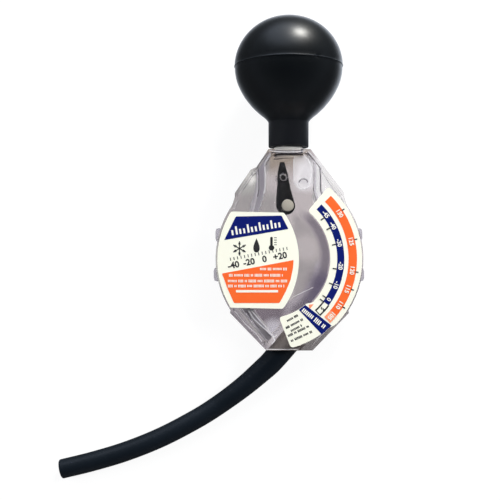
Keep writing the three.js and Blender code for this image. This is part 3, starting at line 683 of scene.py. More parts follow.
def buildHose():
    even, length = evenRoute(hose["route"], hose["spacing"])
    sides = hose["sides"]
    exitPoint = Vector(hose["route"][hose["exit"]])
    exitAt = min(range(len(even)), key=lambda i: (even[i] - exitPoint).length)
    last = len(even) - 1
    radii = [between(hose["radii"], (i - exitAt) / (last - exitAt)) for i in range(last + 1)]
    # Where the hose gets thinner than its rest radius, it lies lower on the floor.
    even = [p - Vector((0, 0, max(0, hose["restRadius"] - r))) for p, r in zip(even, radii)]
    body = []
    across = Vector((0, 0, 1))
    for i, (p, radius) in enumerate(zip(even, radii)):
        ahead = (even[min(i + 1, last)] - even[max(i - 1, 0)]).normalized()
        across = (across - ahead * across.dot(ahead)).normalized()
        body.append((p, across, ahead.cross(across), radius))
    rings = body[:-1]
    p, up, side, outer = body[-1]
    rim = hose["rimRound"]
    outerSteps, innerSteps = hose["rimSteps"]
    for step in range(outerSteps + 1):
        angle = math.pi / 2 * step / outerSteps
        centre = p - ahead * rim * (1 - math.sin(angle))
        rings.append((centre, up, side, outer - rim * (1 - math.cos(angle))))
    for step in range(innerSteps + 1):
        angle = math.pi / 2 * step / innerSteps
        centre = p - ahead * rim * (1 - math.cos(angle))
        rings.append((centre, up, side, hose["bore"] + rim * (1 - math.sin(angle))))
    for step in range(1, hose["boreSteps"] + 1):
        depth = hose["boreDepth"] / hose["spacing"] * step / hose["boreSteps"]
        rings.append((*body[max(0, last - round(depth))][:3], hose["bore"]))
    vertices = []
    for centre, up, side, radius in rings:
        for k in range(sides):
            angle = 2 * math.pi * k / sides
            vertices.append(centre + (up * math.cos(angle) + side * math.sin(angle)) * radius)
    faces = facesBetween([(r, r + 1) for r in range(len(rings) - 1)], sides)
    faces.append(tuple(range(sides)))
    faces.append(tuple((len(rings) - 1) * sides + k for k in range(sides)))
    piece = meshObject("suction_hose", [v * metresPerMm for v in vertices], faces, finish["hoseRubber"])
    cleanUp(piece, hose["mergeWithin"])
    keepSharp(piece, angle=50)
    path = [tuple(inMetres(p)) for p in even[:: hose["pathEvery"]]]
    if len(even) % hose["pathEvery"] != 1:
        path.append(tuple(inMetres(even[-1])))
    settle(piece, "housing", ["hose"])
    print(f"hose ready, {length:.1f} mm long")


buildHose()


# Squeeze bulb, neck adapter and washer

bulb = {
    "middle": 140.7,
    "radius": 27,
    "domeRise": 25.1,
    "wall": 2.6,
    "sides": 128,
    "neckFoot": 100.4,
    "neckLength": 12.4,
    # the seam's lip, from below to above the middle, which is painted lighter as a highlight, and a
    # nick in it
    "lip": (-0.09, 0.3),
    "nick": {"angle": 61.5, "spread": 1.6, "halfWidth": 0.5, "depth": 0.975},
    # The upper half stands a little proud of the lower, with a fine groove under it: pairs of
    # radius and height above the middle.
    "ledge": [(26.86, -0.45), (26.7, -0.3), (26.78, -0.12), (27.1, -0.05), (27.2, 0.12), (27.12, 0.34)],
    # pairs of distance below the middle and radius, from the seam to the top of the neck
    "lower": [(0.35, 26.86), (3.5, 26.65), (7.5, 25.75), (11.5, 24.05), (15.5, 21.7), (19.5, 18.55),
              (21.5, 16.6), (23.5, 14.4), (25.0, 12.5), (26.2, 11.2), (27.1, 10.45), (27.7, 10.12)],
    # pairs of radius and height above the neck's foot, on its outside and in its bore
    "neck": [(9.55, 0), (9.85, 0.12), (10.0, 0.45), (10.02, 4), (10.05, 12.2), (10.02, 12.5)],
    "bore": [(6.8, 17.8), (6.8, 0.3), (7.1, 0)],
    # degrees above the middle at which the inner wall starts and ends
    "inside": (88, -48),
    # steps of the dome, of the inner wall and between two pairs of the lower half
    "steps": (40, 36, 5),
}
neck = {
    # pairs of radius and height
    "foot": [(4.0, 93.8), (7.1, 93.8), (7.4, 94.0), (7.4, 95.0), (7.2, 95.2), (6.5, 95.2)],
    "collar": [(6.5, 98.7), (7.2, 98.7), (7.45, 98.85), (7.5, 99.1), (7.5, 99.8), (7.4, 100.05),
               (7.1, 100.1), (6.5, 100.1)],
    "top": [(6.0, 110.8), (5.8, 111), (4.2, 111), (4.0, 110.8)],
    "washer": [(6.8, 95.6), (7.55, 95.6), (7.7, 95.75), (7.7, 96.15), (7.55, 96.3), (6.8, 96.3)],
    # pairs of radius and height from a barb's top
    "barb": [(6.5, -2.8), (6.5, -2.6), (6.05, -0.1)],
    "barbTops": (105, 108, 111),
    "warmGreyBelow": 95.4,
}


# A smooth curve through pairs, by Catmull-Rom.
def smoothPairs(pairs, steps):
    points = [Vector(p) for p in pairs]
    points = [2 * points[0] - points[1]] + points + [2 * points[-1] - points[-2]]
    result = []
    for i in range(1, len(points) - 2):
        a, b, c, d = points[i - 1 : i + 3]
        for k in range(steps):
            t = k / steps
            result.append(tuple(0.5 * (2 * b + (c - a) * t + (2 * a - 5 * b + 4 * c - d) * t**2
                                       + (3 * b - a - 3 * c + d) * t**3)))
    result.append(tuple(points[-2]))
    return result


def raisedBy(pairs, height):
    return [(r, height + h) for r, h in pairs]


def buildBulb():
    middle = bulb["middle"]
    radius = bulb["radius"]
    foot = bulb["neckFoot"]
    rise = bulb["domeRise"]
    domeSteps, insideSteps, lowerSteps = bulb["steps"]
    dome = [(radius * math.cos(a), middle + rise * math.sin(a))
            for a in [math.pi / 2 * k / domeSteps for k in range(1, domeSteps)]]
    lower = [(r, middle - d) for d, r in reversed(smoothPairs(bulb["lower"], lowerSteps))]
    inner = radius - bulb["wall"]
    innerRise = rise - bulb["wall"]
    start, end = bulb["inside"]
    inside = [(inner * math.cos(a), middle + (innerRise if a > 0 else inner) * math.sin(a))
              for a in [math.radians(start - (start - end) * k / insideSteps)
                        for k in range(insideSteps + 1)]]
    outline = (raisedBy(bulb["neck"], foot) + lower[:-1] + raisedBy(bulb["ledge"], middle) + dome
               + [(0.0, middle + rise), (0.0, middle + innerRise)] + inside
               + raisedBy(bulb["bore"], foot))
    piece = turned("rubber_bulb", outline, finish["bulbPvc"], bulb["sides"])
    keepSharp(piece, angle=40)
    nick = bulb["nick"]
    for vertex in piece.data.vertices:
        p = vertex.co
        angle = math.degrees(math.atan2(p.z, p.x))
        if abs(p.y - middle) < nick["halfWidth"] and abs(angle - nick["angle"]) < nick["spread"]:
            p.x *= nick["depth"]
            p.z *= nick["depth"]
    settle(intoHousing(piece), "housing", ["squeeze_bulb"])
    low, high = bulb["lip"]
    # The neck is matt, and coloured lighter than the bulb as a painted sheen.
    paintWhere(piece, finish["neckSheenPvc"], lambda p, n: p.y < foot + bulb["neckLength"])
    # A painted highlight: the seam's lip is coloured lighter than the bulb.
    paintWhere(piece, finish["seamHighlightPvc"],
               lambda p, n: low < p.y - middle < high and p.xz.length > inner)


def buildNeck():
    barbs = [pair for top in neck["barbTops"] for pair in raisedBy(neck["barb"], top)]
    outline = neck["foot"] + neck["collar"] + barbs + neck["top"]
    adapter = turned("hose_neck_adapter", outline, finish["whiteAbs"])
    keepSharp(adapter, angle=30)
    settle(intoHousing(adapter), "housing", ["neck_adapter"])
    # The adapter's foot, below the housing's top wall, is coloured a warm grey.
    paintWhere(adapter, finish["warmGreyAbs"], lambda p, n: p.y < neck["warmGreyBelow"])
    ring = turned("sealing_washer", neck["washer"], finish["washerRubber"])
    keepSharp(ring, angle=30)
    settle(intoHousing(ring), "housing", ["neck_washer"])


buildBulb()
buildNeck()
print("bulb and neck ready")


# Clear housing and what turns inside it

# Levels and places in the housing's own millimetres, by which the shells' faces are told apart.
housing = {
    "jointLevels": (0.5, 1.2),
    "leftJointFoot": 50,
    "ribMiddle": (4.35, 4.65),
    "rightRibFrom": 5,
    "outsideMiddle": (4.9, 5.2),
    "lobe": ((1.5, 12.2), (75, 98)),
    # the bottom of the wall under the lobe, the lobe's underside and the end of its edge
    "lobeLevels": (1.5, 7, 7.6, 8.3),
    "socketStart": (-2.66, 0),
    "socketAngle": 50,
    "socketReach": (0.3, 16),
    "socketRadius": 6.6,
    "socketHalfDepth": 7,
    "topWall": 95.8,
    "throatRadius": 7.6,
    "lugFoot": 30,
    "lugDepth": 4.3,
    "lugMiddles": (dial["y"] + 11.8, dial["y"] - 7.7),
    "lugHalfLength": 3.7,
}
# The part of a face's normal that points ahead: flat from this on, steep or a side up to this.
facing = {"flat": 0.9, "steep": 0.5, "side": 0.3}


def within(value, bounds):
    return bounds[0] < value < bounds[1]


def onJoint(p, n):
    return abs(n.z) > facing["flat"] and within(abs(p.z), housing["jointLevels"])


def upperLeft(p):
    return p.x < 0 and p.y > housing["leftJointFoot"]


def onSide(p, n, levels):
    return abs(n.z) < facing["side"] and within(abs(p.z), levels)


def onLug(p, n):
    off = min(abs(p.y - y) for y in housing["lugMiddles"])
    return (abs(p.x) > housing["lugFoot"] and abs(p.z) < housing["lugDepth"]
            and off < housing["lugHalfLength"])


def inSocket(p, n):
    angle = math.radians(housing["socketAngle"])
    along = Vector((math.cos(angle), math.sin(angle), 0))
    away = p - Vector((*housing["socketStart"], 0))
    reach = away.dot(along)
    return (within(reach, housing["socketReach"]) and abs(p.z) < housing["socketHalfDepth"]
            and (away - along * reach).length < housing["socketRadius"])


def inThroat(p, n):
    return (p.y > housing["topWall"] and p.xz.length < housing["throatRadius"]
            and abs(n.y) < facing["steep"])


def onLobe(p, low, high):
    across, up = housing["lobe"]
    return within(p.x, across) and within(p.y, up) and low < p.z < high


# Where two rules hold for a face, the later one counts.
def paintShells(front, back):
    rib = housing["ribMiddle"]
    rules = [
        # Painted shade on the joint at the upper left, painted light on the rest of it.
        ("jointShaded", lambda p, n: onJoint(p, n) and upperLeft(p)),
        ("jointLit", lambda p, n: onJoint(p, n) and not upperLeft(p)),
        # The rib's sides are painted as thin highlight lines, and as lines of painted shade outside the
        # right rib.
        ("paintedHighlightEdge", lambda p, n: onSide(p, n, rib)),
        ("paintedShadeEdge", lambda p, n: onSide(p, n, rib) and p.x > housing["rightRibFrom"]
         and n.x > facing["side"]),
        ("clearEdge", lambda p, n: onSide(p, n, housing["outsideMiddle"])),
        ("lugs", onLug),
        # The socket's bore is coloured an opaque dark grey-brown.
        ("socketBore", inSocket),
        ("weldedEdge", inThroat),
    ]
    foot, under, over, top = housing["lobeLevels"]
    # The lobe's edge is painted as a highlight and the steep wall under it as painted shade; its
    # undersides are frosted.
    lobeRules = [
        ("frosted", lambda p, n: onLobe(p, under, over) and n.z < -facing["flat"]),
        ("paintedHighlightEdge", lambda p, n: onLobe(p, under, top) and abs(n.z) < facing["flat"]),
        ("frosted", lambda p, n: onLobe(p, foot, under) and n.z < -facing["flat"]),
        ("paintedShadeEdge", lambda p, n: onLobe(p, foot, under) and abs(n.z) < facing["steep"]),
    ]
    for shell, shellRules in ((front, rules), (back, rules), (front, lobeRules)):
        for look, test in shellRules:
            paintWhere(shell, finish[look], test)


# The bottom and top level of a strip of painted highlight or painted shade, along a wall and on the
# lobe.
wallStripLevels = (7.9, 8.15)
lobeStripLevels = (7.45, 7.7)
# Thin strips of painted highlight (lit) and painted shade (shaded) along the chamber's walls, the lobe
# and the dish, each with its levels, width and course, in pixels of the picture's frame.
highlightAndShadeStrips = {
    "lit": [
        (wallStripLevels, 0.45, [(271.1, 154.9), (267.6, 159.3), (264.9, 163.6), (265.3, 170), (265.5, 176),
                          (265, 188), (263.6, 194)]),
        (wallStripLevels, 0.5, [(303.4, 154.9), (308, 160.3), (312.1, 166.7), (311.2, 174), (309.7, 181)]),
        (wallStripLevels, 0.4, [(308.2, 151.8), (320.8, 166.6), (321.4, 178), (321.4, 190)]),
        (lobeStripLevels, 0.45, [(293.6, 160), (293.6, 180), (295.4, 184.6), (299.4, 189), (301.6, 189.9),
                          (307.6, 186.8), (309.2, 183), (310.4, 176)]),
        (wallStripLevels, 0.5, [(248.9, 310.2), (253.6, 318.4), (272.7, 335.8), (274.9, 340.1),
                         (271.8, 343.6)]),
        (wallStripLevels, 0.45, [(251.5, 310.6), (274.4, 336.6), (277.4, 334.5)]),
        (wallStripLevels, 0.35, [(235.4, 311), (240.4, 317), (245.4, 323.6), (256.2, 333.2), (262, 341)]),
        (wallStripLevels, 0.35, [(269.5, 151.1), (278, 152.1), (288, 152.4), (298, 152.1), (305.5, 151.1)]),
        (wallStripLevels, 0.22, [(284, 301.6), (289, 299), (297.7, 294.5), (306, 290.6), (313, 287.4)]),
        (wallStripLevels, 0.4, [(266, 348.8), (282, 348.9), (298.6, 348.8)]),
    ],
    # the arcs of painted highlight and painted shade round the lobe's boss: levels, radius, width, and
    # the angles where each starts and ends
    "litRing": (lobeStripLevels, 2.5, 0.34, 30, 300),
    "shadedRing": (wallStripLevels, 2.08, 0.4, 10, 170),
    "shaded": [
        (wallStripLevels, 0.3, [(270.5, 150.2), (278, 151), (288, 151.3), (298, 151), (304.5, 150.2)]),
        (wallStripLevels, 0.45, [(271.3, 152.9), (279, 153.5), (288, 153.7), (297, 153.5), (303.6, 152.9)]),
        (wallStripLevels, 0.35, [(268.9, 152.4), (258, 165.6), (258.9, 177), (259, 190), (257.6, 197)]),
        (wallStripLevels, 0.4, [(307, 152.6), (319.5, 167.6), (320.1, 178), (320.2, 190)]),
        (wallStripLevels, 0.3, [(246.8, 310.3), (251.4, 319.4), (259.5, 327.6)]),
    ],
}
# Where a small ring stands on the lobe in the solid, and what lowers it a little.
boss = {"centre": (6.9, 83.5), "radius": 2.8, "levels": (1, 7.6), "shift": (0, -1.7)}


# A band of a width along a course, with mitred corners whose length the least mitre limits.
def strip(course, width, leastMitre=0.5):
    left, right = [], []
    for i, p in enumerate(course):
        before = (p - course[i - 1]).normalized() if i else (course[1] - p).normalized()
        after = (course[i + 1] - p).normalized() if i + 1 < len(course) else before
        way = (before + after).normalized()
        side = Vector((-way.y, way.x)) * width / 2 / max(way.dot(after), leastMitre)
        left.append(p + side)
        right.append(p - side)
    return left + right[::-1]


def buildHighlightAndShadeStrips():
    ring = Vector(boss["centre"]) + Vector(boss["shift"])
    # One piece of painted highlight strips and one of painted shade strips.
    for look, material in (("lit", "paintedHighlightEdge"), ("shaded", "paintedShadeEdge")):
        levels, radius, width, start, end = highlightAndShadeStrips[look + "Ring"]
        course = [Vector(p) for p in arc(ring.x, ring.y, radius, start, end, 24)]
        made = [film(look + "_ring", strip(course, width), *levels, finish[material])]
        for levels, width, pixels in highlightAndShadeStrips[look]:
            course = [Vector(onFace(px, py, levels[1])) for px, py in pixels]
            made.append(film(look + "_bead", strip(course, width), *levels, finish[material]))
        settle(intoHousing(joined(look + "_wall_strips", made)), "housing")


# The left wall runs straight down to the label before it opens out: where its corners are in the
# solid and where they go, with those that stay.
leftWall = {
    "moves": [
        ((-14.2, 71.2), (-15.2, 67.4)), ((-16.8, 73.2), (-17.4, 67.4)),
        ((-21.4, 66.0), (-18.6, 64.0)), ((-23.7, 68.1), (-20.8, 65.2)),
        ((-23.1, 63.2), (-21.5, 61.4)), ((-25.8, 64.7), (-23.9, 62.9)),
        ((-24.5, 60.3), (-23.8, 59.2)), ((-27.3, 61.5), (-26.4, 60.4)),
        ((-25.7, 57.3), (-25.5, 56.9)), ((-28.6, 58.3), (-28.3, 57.9)),
        ((-11.9, 77.8), (-11.9, 77.8)), ((-15.0, 78.3), (-15.0, 78.3)),
        ((-26.6, 54.1), (-26.6, 54.1)), ((-29.6, 54.9), (-29.6, 54.9)),
    ],
    "foot": 54.3,
    "innerEdge": -11,
    "reach": 42.5,
    # a move counts for more the nearer its corner is, but none for more than at this distance
    "falloff": 5,
    "nearest": 0.05,
}
armPivot = (housingFrame.inverted() @ Vector(armJoint["pos_m"])).xy
# The arm's boss and washer show as one narrow ring: how far they reach, their inner and outer
# radius, and the radius that tells the two edges apart.
pivotRing = {"reach": 2.8, "levels": (3, 8), "inner": 1.45, "outer": 1.9, "between": 1.85}
# The arm's tip is broad and cut flat.
armTip = {"foot": 5, "x": -3.5, "broader": 1.08, "shift": 0.05, "top": 92.1}


# Each of these gets a vertex in the housing's own frame and gives its new place, or None.
def straightened(p):
    mirroredDial = Vector((-dial["x"], dial["y"]))
    outside = (p.xy - mirroredDial).length > leftWall["reach"]
    if p.x > leftWall["innerEdge"] or p.y < leftWall["foot"] or outside:
        return None
    total = 0
    shift = Vector((0, 0))
    for start, end in leftWall["moves"]:
        distance = max((p.xy - Vector(start)).length, leftWall["nearest"])
        weight = 1 / distance ** leftWall["falloff"]
        total += weight
        shift += (Vector(end) - Vector(start)) * weight
    p.xy += shift / total
    return p


def withLowerRing(p):
    off = (p.xy - Vector(boss["centre"])).length
    if off >= boss["radius"] or not within(p.z, boss["levels"]):
        return None
    p.xy += Vector(boss["shift"])
    return p


def withNarrowPivot(p):
    away = p.xy - armPivot
    if away.length >= pivotRing["reach"] or not within(p.z, pivotRing["levels"]):
        return None
    edge = "outer" if away.length > pivotRing["between"] else "inner"
    p.xy = armPivot + away.normalized() * pivotRing[edge]
    return p


def withFlatTip(p):
    if p.y <= armPivot.y + armTip["foot"]:
        return None
    p.x = armTip["x"] + (p.x - armTip["x"]) * armTip["broader"] + armTip["shift"]
    p.y = min(p.y, armTip["top"])
    return p


def reshape(piece, rule):
    back = housingFrame.inverted()
    for vertex in piece.data.vertices:
        moved = rule(back @ vertex.co)
        if moved is not None:
            vertex.co = housingFrame @ moved


def buildFromSolids():
    wanted = [
        ("back_shell", "clear_back_shell", "clearBack", 0.25, "housing", "clear_shell"),
        ("front_shell", "clear_front_shell", "clearFront", 0.25, "housing", "clear_shell"),
        ("chamber_seal_left", "left_chamber_seal", "sealRubber", 0.12, "housing", "seal"),
        ("chamber_seal_right", "right_chamber_seal", "clearSeal", 0.12, "housing", "seal"),
        ("needle_pin", "needle_pivot_pin", "drawnSteel", 0.15, "housing", "pin_steel"),
        ("needle_hub", "needle_bearing_hub", "creamAcetal", 0.2, "dial_needle", "white_plastic"),
        ("needle", "dial_needle_blade", "blackAcetal", 0.12, "dial_needle", "black_plastic"),
        ("needle_float", "needle_foam_float", "creamAcetal", 0.4, "dial_needle", "white_plastic"),
        ("needle_slug", "needle_weight", "turnedBrass", 0.2, "dial_needle", "slug_brass"),
        ("arm_pin", "arm_pivot_pin", "blackAcetal", 0.2, "housing", "black_plastic"),
        ("arm_washer", "arm_face_washer", "greyAbs", 0.12, "balance", "grey_plastic"),
        ("balance_arm", "hanging_balance_arm", "blackAcetal", 0.3, "balance", "black_plastic"),
        ("balance_disc", "balance_float_disc", "paleAcetal", 0.25, "balance", "disc_plastic"),
        ("hose_fitting", "hose_barb_fitting", "darkAbs", 0.25, "housing", "grey_plastic"),
    ]
    made = {}
    for node, name, material, edge, body, slot in wanted:
        made[node] = finishedCopy(node, name, finish[material], edge)
        settle(made[node], body, [node])
    paintShells(made["front_shell"], made["back_shell"])
    for node, rule in (("front_shell", straightened), ("back_shell", straightened),
                       ("chamber_seal_left", straightened), ("front_shell", withLowerRing),
                       ("front_shell", withNarrowPivot), ("arm_washer", withNarrowPivot),
                       ("balance_arm", withFlatTip)):
        reshape(made[node], rule)


buildFromSolids()
buildHighlightAndShadeStrips()
print("clear housing and moving pieces ready")


# Labels

labelSheet = {"low": 10.3, "high": 10.65, "ink": 0.05, "float": 0.01, "boldness": 0.03}
nameLabel = {
    "top": 67.7, "bottom": 20.8, "topLeft": -28.2, "topRight": -2.2, "bottomLeft": -29,
    "bottomRight": -3.7, "left": -35.2, "right": 4.6, "corner": 2.2,
}


# An arc through three points, the second being its middle.
def arcThrough(start, middle, end, steps=28):
    a, m, b = Vector(start), Vector(middle), Vector(end)
    chord = b - a
    base = (a + b) / 2
    rise = m - base
    radius = ((chord.length / 2) ** 2 + rise.length**2) / (2 * rise.length)
    centre = base + rise.normalized() * (rise.length - radius)
    first = math.atan2(a.y - centre.y, a.x - centre.x)
    last = math.atan2(b.y - centre.y, b.x - centre.x)
    sweep = last - first
    sweep -= 2 * math.pi * round(sweep / (2 * math.pi))
    return [(centre.x + radius * math.cos(first + sweep * k / steps),
             centre.y + radius * math.sin(first + sweep * k / steps)) for k in range(steps + 1)]


def nameOutline():
    top, bottom = nameLabel["top"], nameLabel["bottom"]
    middle = (top + bottom) / 2
    right = arcThrough((nameLabel["bottomRight"], bottom), (nameLabel["right"], middle),
                       (nameLabel["topRight"], top))
    left = arcThrough((nameLabel["topLeft"], top), (nameLabel["left"], middle),
                      (nameLabel["bottomLeft"], bottom))
    return roundCorners(right + left, nameLabel["corner"], 4)


# The underside of a layer of print, which lies on the label or, raised, on a layer before it.
def inkBottom(raised):
    return labelSheet["high"] + labelSheet["float"] + raised * (labelSheet["ink"] + labelSheet["float"])


def inkMiddle(raised):
    return inkBottom(raised) + labelSheet["ink"] / 2


def inkFilm(name, outline, ink, raised=0):
    low = inkBottom(raised)
    return film(name, outline, low, low + labelSheet["ink"], finish[ink])


def fromPixels(points):
    return [onFace(*p) for p in points]


def aboutDial(radius, angle):
    return (dial["x"] + radius * math.cos(math.radians(angle)),
            dial["y"] + radius * math.sin(math.radians(angle)))


def band(inner, outer, start, end, steps=48):
    return (arc(dial["x"], dial["y"], outer, end, start, steps)
            + arc(dial["x"], dial["y"], inner, start, end, steps))


# A plain number as a thin mesh.
def number(name, text, size, centre, turnDegrees, ink, raised):
    curve = bpy.data.curves.new(name, "FONT")
    curve.body = text
    curve.size = size
    curve.align_x = "CENTER"
    curve.align_y = "CENTER"
    curve.extrude = labelSheet["ink"] / 2
    curve.offset = labelSheet["boldness"] * size
    curve.resolution_u = 4
    holder = addObject(name, curve)
    mesh = evaluatedMesh(holder)
    bpy.data.objects.remove(holder)
    turnAbout = Matrix.Rotation(math.radians(turnDegrees), 4, "Z")
    mesh.transform(Matrix.Translation((*centre, inkMiddle(raised))) @ turnAbout)
    return cleanUp(dress(addObject(name, mesh), finish[ink], smooth=False))


# What the tree of repeated bars takes: the kind of each input, and its value where none is given.
barInputs = {
    "count": ("Int", 1),
    "size": ("Vector", None),
    "start": ("Vector", None),
    "step": ("Vector", (0.0, 0.0, 0.0)),
    "turn": ("Float", 0.0),
    "radius": ("Float", 0.0),
    "firstAngle": ("Float", 0.0),
    "angleStep": ("Float", 0.0),
    "finish": ("Material", None),
}


# Geometry Nodes tree: copies of a small bar, each a step further in a row or about a centre.
def barsTree(name):
    tree = bpy.data.node_groups.new(name, "GeometryNodeTree")
    face = tree.interface
    sockets = {}
    for label, (kind, _) in barInputs.items():
        socket = face.new_socket(name=label, in_out="INPUT", socket_type="NodeSocket" + kind)
        sockets[label] = socket.identifier
    face.new_socket(name="geometry", in_out="OUTPUT", socket_type="NodeSocketGeometry")
    given = addNode(tree, "NodeGroupInput").outputs
    index = addNode(tree, "GeometryNodeInputIndex")
    along = addNode(tree, "ShaderNodeMath", {"operation": "MULTIPLY_ADD", 0: index,
                                             1: given["angleStep"], 2: given["firstAngle"]})
    way = addNode(tree, "ShaderNodeCombineXYZ", {"X": calculate(tree, "COSINE", along),
                                                 "Y": calculate(tree, "SINE", along)})
    reach = addNode(tree, "ShaderNodeVectorMath",
                    {"operation": "SCALE", 0: way, "Scale": given["radius"]})
    steps = addNode(tree, "ShaderNodeVectorMath",
                    {"operation": "SCALE", 0: given["step"], "Scale": index})
    row = addNode(tree, "ShaderNodeVectorMath", {"operation": "ADD", 0: steps, 1: given["start"]})
    place = addNode(tree, "ShaderNodeVectorMath", {"operation": "ADD", 0: reach, 1: row})
    points = addNode(tree, "GeometryNodePoints", {"Count": given["count"], "Position": place})
    facingAngle = addNode(tree, "ShaderNodeCombineXYZ",
                          {"Z": calculate(tree, "ADD", along, given["turn"])})
    copies = addNode(tree, "GeometryNodeInstanceOnPoints",
                     {"Points": points,
                      "Instance": addNode(tree, "GeometryNodeMeshCube", {"Size": given["size"]}),
                      "Rotation": addNode(tree, "FunctionNodeEulerToRotation", {0: facingAngle})})
    real = addNode(tree, "GeometryNodeRealizeInstances", {0: copies})
    painted = addNode(tree, "GeometryNodeSetMaterial", {"Geometry": real, "Material": given["finish"]})
    addNode(tree, "NodeGroupOutput", {0: painted})
    return tree, sockets


repeatBars, barSockets = barsTree("repeated bars")


# A bar of a width and height at a place on the label, or a row of them, by what the tree takes.
def bars(name, ink, size, start, raised=0, **values):
    piece = addObject(name, bpy.data.meshes.new(name))
    repeat = piece.modifiers.new("repeat", "NODES")
    repeat.node_group = repeatBars
    given = {label: value for label, (_, value) in barInputs.items()}
    given.update(values, size=(*size, labelSheet["ink"]), start=(*start, inkMiddle(raised)),
                 finish=finish[ink])
    for label, value in given.items():
        repeat[barSockets[label]] = value
    piece.update_tag()
    applyModifiers(piece)
    return dress(piece, finish[ink], smooth=False)


# Fine print is rows of short strokes in words: the strokes of each word, the gap between words in
# strokes, and how tall every second word is against the others.
finePrint = {"words": (5, 3, 7, 4, 2, 6, 4, 8, 3), "gap": 0.9, "lower": 0.82}


# The style is a stroke's width and height and the pitch.
def strokeRow(name, px, py, lengthPx, ink, raised, firstWord, slant=0.0, style=(0.4, 1.35, 0.64)):
    width, height, pitch = style
    length = lengthPx * view["mmPerPixel"]
    along = Vector((math.cos(math.radians(slant)), math.sin(math.radians(slant)), 0))
    start = Vector((*onFace(px, py), 0)) - along * (length / 2 - width / 2)
    words = finePrint["words"]
    pieces = []
    reach = 0
    word = firstWord
    while reach < length - width:
        count = min(words[word % len(words)], int((length - width - reach) / pitch) + 1)
        tall = height * (1.0 if word % 2 else finePrint["lower"])
        pieces.append(bars(f"{name}word{word}", ink, (width, tall), (start + along * reach).xy, raised,
                           count=count, step=tuple(along * pitch), turn=math.radians(slant)))
        reach += (count + finePrint["gap"]) * pitch
        word += 1
    return pieces


# Places in pixels of the picture's frame, sizes in millimetres and turns in degrees.
nameInk = {
    "navy": [(235.8, 216.5), (281.5, 215.6), (288.4, 229), (224.2, 240.1)],
    "orange": [(222, 273.5), (293.6, 260), (293, 268), (290.5, 280), (286, 291), (279.5, 303),
               (234, 303), (227.8, 289)],
    "corner": 0.5,
    "bar": [(236, 290), (278, 290), (278, 292.4), (236, 292.4)],
    # the middle and the length in pixels of each fine row on the orange panel
    "rows": [(273.5, 269, 27), (256, 275.3, 54), (257.5, 281, 59), (256.5, 286, 57)],
    # a row of marks along the navy panel's foot, every third one tall
    "marks": {"first": (232.5, 235.3), "step": (3.9, -0.66), "count": 13, "width": 0.95,
              "heights": (2.5, 4.1, 2.5), "turn": 9.6},
    # the barbs' length, place and layer are shares of the flake's size and of a layer of print
    "flake": {"centre": (239.5, 248.5), "size": 3.5, "spokeWidth": 0.5, "barbWidth": 0.42,
              "barbLength": 0.36, "barbPlace": 0.68, "barbTurn": 50, "barbLayer": 0.2},
    "drop": {"centre": (256.5, 245.3), "size": 3.5, "breadth": 0.62, "taper": 1.4, "steps": 24},
    # the thermometer: the stem's half width, top and foot, the bulb's place and radius, and the
    # marks' size, place and step, from the stem's place
    "gauge": {"place": (271.5, 241), "halfWidth": 0.6, "top": 2, "foot": -2.6, "bulb": -3.3,
              "bulbRadius": 1.35, "marks": 4, "markSize": (1.3, 0.32), "markPlace": (1.9, 1.6),
              "markStep": -1.15},
    "degrees": {"texts": ("-40", "-20", "0", "+20"), "first": (233.5, 265.3), "step": (15.5, -3.0),
                "size": 4.3, "turn": 11},
    "rule": {"place": (230.5, 259.2), "count": 17, "size": (0.38, 1.5), "step": (1.72, 0.33, 0),
             "turn": 11},
}


def placeInRow(row, k):
    return onFace(row["first"][0] + row["step"][0] * k, row["first"][1] + row["step"][1] * k)


def snowflake(ink):
    flake = nameInk["flake"]
    size = flake["size"]
    centre = onFace(*flake["centre"])
    sixth = {"firstAngle": math.pi / 6, "angleStep": math.pi / 3}
    pieces = [bars("flakeSpokes", ink, (2 * size, flake["spokeWidth"]), centre, count=3, **sixth)]
    for side in (-1, 1):
        pieces.append(bars("flakeBarbs", ink, (flake["barbLength"] * size, flake["barbWidth"]), centre,
                           flake["barbLayer"], count=6, radius=flake["barbPlace"] * size,
                           turn=side * math.radians(flake["barbTurn"]), **sixth))
    return pieces


def droplet(ink):
    drop = nameInk["drop"]
    size = drop["size"]
    x, y = onFace(*drop["centre"])
    turns = [2 * math.pi * k / drop["steps"] for k in range(drop["steps"])]
    outline = [(x + size * drop["breadth"] * math.sin(t) * math.sin(t / 2) ** drop["taper"],
                y + size * math.cos(t)) for t in turns]
    return inkFilm("drop", outline, ink)


def thermometer(ink):
    gauge = nameInk["gauge"]
    x, y = onFace(*gauge["place"])
    half, top, foot = gauge["halfWidth"], gauge["top"], gauge["foot"]
    stem = [(x - half, y + top), (x + half, y + top), (x + half, y + foot), (x - half, y + foot)]
    bulbOutline = arc(x, y + gauge["bulb"], gauge["bulbRadius"], 0, 345, 23)
    markStart = (x + gauge["markPlace"][0], y + gauge["markPlace"][1])
    return [inkFilm("gaugeStem", roundCorners(stem, nameInk["corner"]), ink),
            inkFilm("gaugeBulb", bulbOutline, ink),
            bars("gaugeMarks", ink, gauge["markSize"], markStart, count=gauge["marks"],
                 step=(0, gauge["markStep"], 0))]


# Makes a label's film and then its prints, each print one piece.
def buildLabel(node, outline, makePrints):
    base = film(node + "_film", outline, labelSheet["low"], labelSheet["high"], finish["creamVinyl"])
    settle(intoHousing(base), "housing", [node])
    for name, pieces in makePrints().items():
        settle(intoHousing(joined(f"{node}_{name}", pieces)), "housing")


